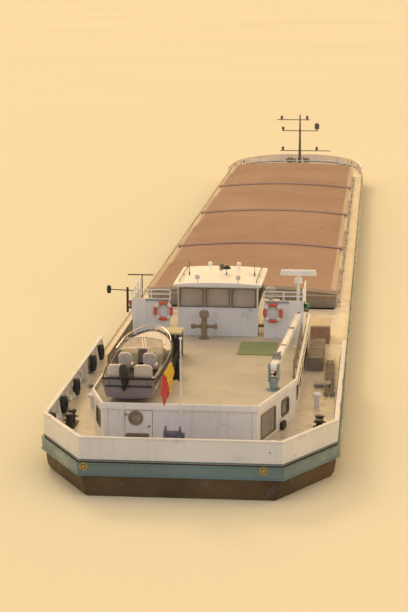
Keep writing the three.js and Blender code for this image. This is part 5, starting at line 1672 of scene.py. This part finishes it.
def deck_fittings():
    """Bench on the roof, mushroom vents and flush hatches on the deck aft."""
    bench, vents, hatches = shapes(3)
    bench.box((1.39, 12.98, ROOF + 0.3), (2.27, 13.3, ROOF + 0.36))
    for x in (1.45, 2.2):
        bench.box((x - 0.03, 13.0, ROOF + 0.002), (x + 0.03, 13.28, ROOF + 0.3))
    for x, y in ((-2.9, 1.1), (2.75, 1.15), (-3.7, 6.6), (3.85, 7.4)):
        vents.lathe([(0, 0.003), (0.09, 0.003), (0.09, 0.35), (0, 0.35)], (x, y, 0), steps=20)
        vents.lathe([(0.08, 0.33), (0.17, 0.36), (0.17, 0.42), (0.11, 0.47), (0, 0.49)], (x, y, 0), steps=20)
    for x, y in ((1.35, 1.05), (-4.0, 9.5), (3.95, 10.3)):
        for size, bottom, top in ((0.55, 0.003, 0.1), (0.6, 0.1, 0.13)):
            hatches.plate(rounded(size, size, 0.12, at=(x, y)), bottom, top)
    bench.piece("roof_bench", "black_paint", "black", bevel=0.01)
    vents.piece("deck_vents", "white_paint", "white")
    hatches.piece("deck_hatches", "grey_paint", "grey", bevel=0.01)


def gangplank():
    """Gangplank lying along the starboard side deck: two side rails, rungs and treads."""
    frame_work, treads = shapes(2)
    start, end = Vector((4.24, 8.8, 0.02)), Vector((4.12, 14.1, 0.02))
    way = (end - start).normalized()
    long = (end - start).length
    with placed(move(*start) @ way.to_track_quat("Y", "Z").to_matrix().to_4x4(), frame_work, treads):
        for x in (-0.19, 0.15):
            frame_work.box((x, 0, 0), (x + 0.04, long, 0.13))
        for step in range(14):
            y = 0.02 + (long - 0.08) * step / 13
            frame_work.box((-0.17, y, 0.02), (0.17, y + 0.04, 0.05))
        for x in (-0.12, 0.02):
            treads.box((x, 0.05, 0.052), (x + 0.1, long - 0.05, 0.075))
    frame_work.piece("gangplank_frame", "black_paint", "timber", bevel=0.005)
    treads.piece("gangplank_treads", "black_paint", "box", bevel=0.004)


def fenders():
    """Tyre fenders on short hangers inside the port bulwark."""
    tyres, hangers = shapes(2)
    for distance in TYRES["along"]:
        with placed(deck_edge(SIDES["port"], distance, 0.2, TYRES["up"]), tyres, hangers):
            tyres.lathe([
                (0.16, -0.08), (0.2, -0.1), (0.28, -0.09), (0.31, 0.0), (0.28, 0.09), (0.2, 0.1),
                (0.16, 0.08), (0.18, 0.0),
            ], steps=28, looped=True)
            hangers.bar((0, 0.22, 0.0), (0, 0.3, 0.14), 0.012)
    tyres.piece("tyre_fenders", "black_paint", "rubber")
    hangers.piece("fender_hangers", "bright_steel", "zinc")


# Hold


def arch(half, base, crown=COVER["rise"]):
    """Points of an arch across the hold, from port to starboard."""
    shares = [step / 24 for step in range(-24, 25)]
    return [(half * share, base + crown * (1 - share * share)) for share in shares]


def bent_plate(shape, outer, inner, low, high):
    """A plate bent along two lines of (x, z) points, between two places along the hold."""
    shape.loft([
        [(x, low, z), (x, high, z), (inner_x, high, inner_z), (inner_x, low, inner_z)]
        for (x, z), (inner_x, inner_z) in zip(outer, inner)
    ])


def arched_bar(shape, half, base, low, high, thick):
    """A bar that follows the arch, between two places along the hold."""
    bent_plate(shape, arch(half, base + thick), arch(half, base), low, high)


def hatch_covers():
    """Arched shells with cross bars; the odd numbers are the upper ones, with fittings of their own."""
    for number in range(1, 9):
        node, body = f"hatch_cover_{number}", f"cover_{number}"
        low, high = span(node)
        half, hollow = high.x, high.x - COVER["skirt"]
        upper = number % 2 == 1
        foot = low.z + (COVER["lift"] if upper else 0.0)
        crest = foot + COVER["thick"]
        skin = Shape()
        outer = [(-half, low.z), *arch(half, crest), (half, low.z)]
        inner = [(-hollow, low.z), *arch(hollow, foot, COVER["rise"] - 0.005), (hollow, low.z)]
        bent_plate(skin, outer, inner, low.y, high.y)
        for share in (0.2, 0.4, 0.6, 0.8):
            y = low.y + (high.y - low.y) * share
            arched_bar(skin, half - 0.002, crest - 0.008, y - 0.03, y + 0.03, 0.016)
        skin.piece(f"{node}_plating", "hatch_paint", "hatch", body, bevel=0.008, angle=25, replaces=[node])
        if upper:
            upper_fittings(node, body, crest)


def upper_fittings(node, body, crest):
    """End lips, side wheels and lifting rings of an upper cover."""
    low, high = span(node)
    half = high.x
    lips, fittings = shapes(2)
    lip = low.z + COVER["thick"] + COVER["lip"]
    for y in (low.y + 0.002, high.y - 0.032):
        arched_bar(lips, half - COVER["skirt"] - 0.02, lip, y, y + 0.03, COVER["lift"] - COVER["lip"])
    for side in BOTH:
        plate, wheel = side * (half + 0.035), side * (half + 0.07)
        for y in (low.y + 0.5, high.y - 0.5):
            fittings.box((side * (half + 0.001), y - 0.14, low.z + 0.01), (plate, y + 0.14, low.z + 0.13))
            fittings.bar((plate, y, low.z + 0.07), (wheel, y, low.z + 0.07), 0.05)
            eye = (side * 2.9, y, crest + COVER["rise"] * (1 - (2.9 / half) ** 2))
            fittings.ring(0.06, 0.014, eye, AHEAD, steps=16)
    # The end lips take a lighter tone: painted light against their shade.
    lips.piece(f"{node}_end_lips", "hatch_paint", "ends painted light", body)
    fittings.piece(f"{node}_fittings", "hatch_paint", "hatch", body, bevel=0.004)


def coaming():
    """Side stays, gable stiffeners, edge bars and the pipes along the coaming."""
    stays, stiffeners, edge, pipes = shapes(4)
    half, aft, fore = COAMING_HIGH.x, COAMING_LOW.y, COAMING_HIGH.y
    for side in BOTH:
        wall, lane = side * (half + 0.002), side * (half + 0.12)
        outline = [(wall, 0.004), (side * (half + 0.09), 0.004), (side * (half + 0.04), 0.3), (wall, 0.38)]
        for step in range(int((fore - aft) / 2.5)):
            y = aft + 1.25 + 2.5 * step
            stays.plate(outline, y - 0.012, y + 0.012, "y")
        rim = side * (half + 0.05)
        edge.box((wall, aft - 0.03, COVER_FOOT - 0.09), (rim, fore + 0.03, COVER_FOOT - 0.015))
        pipes.pipe([(lane, aft + 0.3, 0.06), (lane, fore - 0.3, 0.06)], 0.026)
        for step in range(12):
            y = aft + 1.0 + step * 4.0
            pipes.bar((lane, y - 0.05, 0.06), (lane, y + 0.05, 0.06), 0.045)
            pipes.box((lane - 0.02, y + 0.3, 0.004), (lane + 0.02, y + 0.34, 0.06))
    for x in (0.4 * step for step in range(-9, 10)):
        top = COVER_FOOT + 0.12 * (1 - (x / half) ** 2)
        for y in (aft - 0.075, fore + 0.002):
            stiffeners.box((x - 0.015, y, 0.004), (x + 0.015, y + 0.073, top))
    for low, high in ((aft - 0.12, aft - 0.002), (fore + 0.002, fore + 0.12)):
        edge.box((-half - 0.05, low, COVER_FOOT - 0.09), (half + 0.05, high, COVER_FOOT - 0.03))
    arched_bar(edge, half - 0.02, COVER_FOOT - 0.01, aft - 0.11, aft - 0.07, 0.11)
    # The stays are painted white, paler than the coaming: painted light that cancels the shade on their aft
    # faces.
    stays.piece("coaming_stays", "coaming_paint", "white")
    stiffeners.piece("coaming_gable_stiffeners", "coaming_paint", "coaming")
    edge.piece("coaming_edge_bar", "coaming_paint", "coaming", bevel=0.008)
    pipes.piece("deck_pipes", "coaming_paint", "coaming")


def engine_trunk():
    """Lids, mushroom vents and side louvres of the low trunk over the engine room."""
    high = span("engine_trunk")[1]
    lids, vents = shapes(2)
    for y in (18.5, 20.4, 22.3):
        with placed(move(0, y, high.z), lids):
            lids.plate(rounded(1.5, 1.1, 0.08), 0.003, 0.1)
            lids.plate(rounded(1.56, 1.16, 0.1), 0.1, 0.13)
            for x in (-0.4, 0.4):
                lids.bar((x - 0.1, 0.58, 0.12), (x + 0.1, 0.58, 0.12), 0.03)
                lids.ring(0.05, 0.012, (x, -0.5, 0.14), ACROSS, steps=16)
    for side in BOTH:
        for y in (17.9, 22.9):
            vents.lathe([
                (0, 0.003), (0.14, 0.003), (0.13, 0.02), (0.1, 0.04), (0.1, 0.42), (0.2, 0.46), (0.22, 0.54),
                (0.15, 0.6), (0, 0.63),
            ], (side * 1.35, y, high.z))
        louvre(vents, facing(side * high.x, 20.4, 0.32, side * 90), 3.6, 0.34, 7)
    lids.piece("trunk_lids", "roof_paint", "cream", bevel=0.01)
    vents.piece("trunk_vents", "grey_paint", "grey")


# Bow


def windlass():
    """Anchor windlass: motor and side plates on a bed, with a drum and a warping head to each side."""
    low, high = span("windlass")
    bed, drums = shapes(2)
    with placed(move(0, (low.y + high.y) / 2, low.z), bed, drums):
        bed.plate(rounded(1.8, 0.9, 0.06), 0, 0.04)
        for x in (-0.36, 0.36):
            cheek = [(-0.38, 0.04), (0.38, 0.04), (0.16, 0.58), (-0.16, 0.58)]
            bed.plate(cheek, x - 0.03, x + 0.03, "x")
        bed.plate(rounded(0.5, 0.5, 0.08), 0.04, 0.56)
        bed.bar((0, -0.28, 0.32), (0, -0.44, 0.32), 0.15, sides=20)
        for side in BOTH:
            drums.lathe([
                (0, 0.4), (0.24, 0.4), (0.27, 0.43), (0.27, 0.46), (0.17, 0.49), (0.15, 0.55), (0.17, 0.61),
                (0.27, 0.64), (0.27, 0.67), (0.24, 0.7), (0.1, 0.72), (0.12, 0.8), (0.16, 0.84), (0.16, 0.86),
                (0, 0.86),
            ], (0, 0, 0.4), (side, 0, 0), steps=28)
        drums.bar((-0.45, 0, 0.4), (0.45, 0, 0.4), 0.08, sides=16)
    bed.piece("windlass_frame", "grey_paint", "grey", bevel=0.01, replaces=["windlass"])
    drums.piece("windlass_drums", "grey_paint", "rail")


def bow_mast():
    """Lamps on the folding mast's cross arms, a cable pipe and the hinge's domed heads."""
    foot, hinge = middle_of("mast_foot"), pin_of("bow_mast_fold").z
    tall = span("bow_mast")[1].z - hinge
    lamp = ((0, 0.06), (0.075, 0.06), (0.09, 0.1), (0.09, 0.24), (0.06, 0.28), (0, 0.3))
    lamps, gear = shapes(2)
    with placed(move(foot.x, foot.y, hinge), lamps, gear):
        for x, arm, size in MAST_LAMPS:
            gear.bar((x, 0, arm), (x, 0, arm + 0.07), 0.05)
            lamps.lathe([(radius * size, up * size) for radius, up in lamp], (x, 0, arm), steps=20)
        for side in BOTH:
            gear.dome(0.05, 0.04, (side * 0.22, 0, 0), (side, 0, 0), steps=12, rows=3)
        gear.pipe([(0, -0.09, share * tall) for share in (0.1, 0.5, 0.9)], 0.02)
    lamps.piece("bow_mast_lamps", "mast_paint", "mast", "bow_mast")
    gear.piece("bow_mast_fittings", "mast_paint", "mast", "bow_mast", angle=50)


def bow_gear():
    """Hatches, vents and a guard rail on the bow deck."""
    rails, gear = shapes(2)
    for side in BOTH:
        for size, radius, bottom, top in ((0.7, 0.12, 0.003, 0.28), (0.76, 0.14, 0.28, 0.32)):
            gear.plate(rounded(size, size, radius, at=(side * 1.9, 73.6)), bottom, top)
        gear.lathe([
            (0, 0.003), (0.12, 0.003), (0.1, 0.04), (0.1, 0.5), (0.2, 0.54), (0.21, 0.62), (0.14, 0.68),
            (0, 0.7),
        ], (side * 3.2, 73.1, 0))
    railing(rails, [(-3.2, 72.2, 0.003), (3.2, 72.2, 0.003)], 0.95, step=1.3)
    gear.piece("bow_deck_hatches_and_vents", "grey_paint", "grey", bevel=0.01)
    rails.piece("bow_guard_rail", "white_paint", "white")


# Stern gear below water


def blade_ring(share):
    """A blade's section at a share of its length from the hub."""
    radius = 0.13 + 0.585 * share
    chord = 0.2 + 0.52 * math.sin(math.pi * min(share * 0.62 + 0.16, 1)) ** 1.3 * (1 - 0.62 * share ** 5)
    pitch = math.atan2(0.16, radius) + 0.12
    thick = 0.05 * (1 - 0.8 * share)
    ring = []
    for a, b in circle(1.0, 14):
        along, out = 0.5 * chord * a, 0.5 * thick * b
        ring.append((
            along * math.cos(pitch) - out * math.sin(pitch),
            along * math.sin(pitch) + out * math.cos(pitch),
            math.sqrt(max(radius ** 2 - (along * math.cos(pitch)) ** 2, 0.0)),
        ))
    return ring


def propeller():
    """Four twisted blades on a faired hub."""
    low, high = span("propeller")
    y = low.y + 0.3
    end = high.y - y
    shape = Shape()
    with placed(move(0, y, pin_of("propeller_turn").z), shape):
        shape.lathe([
            (0, -0.3), (0.05, -0.28), (0.1, -0.2), (0.15, -0.1), (0.17, 0.2), (0.08, 0.24), (0.08, end),
            (0, end),
        ], axis=AHEAD, steps=32)
        for blade in range(4):
            with placed(turn(90 * blade, "Y"), shape):
                shape.loft([blade_ring(step / 8) for step in range(9)])
    shape.piece("propeller_casting", "bronze", "bronze", "propeller", angle=60, replaces=["propeller"])


def rudder_anodes():
    for name in SIDES:
        node = f"rudder_{name}"
        low, high = span(node)
        anodes = Shape()
        x = (low.x + high.x) / 2
        for z in (low.z + 0.45, low.z + 1.05):
            anodes.plate(rounded(0.28, 0.1, 0.03, at=(low.y + 0.45, z)), x - 0.075, x + 0.075, "x")
        anodes.piece(f"{node}_anodes", "bright_steel", "zinc", node, bevel=0.006)


# Room, light and camera


def floor():
    """A pale floor at the waterline."""
    data = bpy.data.meshes.new("floor")
    corners = [(x * FLOOR_SIZE, y * FLOOR_SIZE, WATERLINE) for x, y in ((-1, -1), (1, -1), (1, 1), (-1, 1))]
    data.from_pydata(corners, [], [(0, 1, 2, 3)])
    data.materials.append(floor_finish())
    link("floor", data)


def aimed(name, data, place, aim):
    """A lamp or camera put at a place and turned to another one."""
    item = link(name, data)
    item.location = place
    item.rotation_euler = (aim - place).to_track_quat("-Z", "Y").to_euler()
    return item


def sun():
    """A low, soft and warm sun ahead to port."""
    data = bpy.data.lights.new("low sun", "SUN")
    data.energy = SUN["energy"]
    data.color = SUN["colour"]
    data.angle = math.radians(SUN["degrees"])
    aimed("low sun", data, Vector(SUN["place"]), Vector())


def sky():
    """A sky that is golden ahead and cooler astern."""
    world = bpy.data.worlds.new("sky")
    bpy.context.scene.world = world
    bpy.context.scene.view_settings.view_transform = "Standard"
    world.use_nodes = True
    tree = world.node_tree
    split, share, ramp, where = (
        tree.nodes.new(f"ShaderNode{kind}") for kind in ("SeparateXYZ", "MapRange", "ValToRGB", "TexCoord")
    )
    share.inputs["From Min"].default_value = -1.0
    for element, colour in zip(ramp.color_ramp.elements, (SKY["astern"], SKY["ahead"])):
        element.color = (*colour, 1)
    for output, socket in (
        (where.outputs["Generated"], split.inputs[0]),
        (split.outputs["Y"], share.inputs["Value"]),
        (share.outputs["Result"], ramp.inputs[0]),
        (ramp.outputs[0], tree.nodes["Background"].inputs["Color"]),
    ):
        tree.links.new(output, socket)


def camera():
    data = bpy.data.cameras.new("camera")
    data.sensor_width = CAMERA["film"]
    data.lens = CAMERA["lens"]
    data.clip_end = 500
    place, aim = (TO_MODEL @ Vector(CAMERA[name]) for name in ("place", "aim"))
    bpy.context.scene.camera = aimed("camera", data, place, aim)


def main():
    for build in (
        camera, floor, sky, sun, dress_nodes,
        rubbing_belts, stern_bitts, bulwark_stays, fairleads, toe_rails, bollards,
        house_windows, companion_door, roof_lip, house_trim,
        wheelhouse_windows, wheelhouse_door, wheelhouse_blinds, wheelhouse_roof_gear, helm, helm_chair,
        radar_hood, wings, lifebuoys, ventilator, roof_mat, crane,
        boat_hull, boat_decks, boat_seats, boat_console, outboard, flag,
        roof_railings, lockers, deck_box, stern_winch, deck_fittings, gangplank, fenders,
        hatch_covers, coaming, engine_trunk, windlass, bow_mast, bow_gear, propeller, rudder_anodes,
    ):
        build()


main()
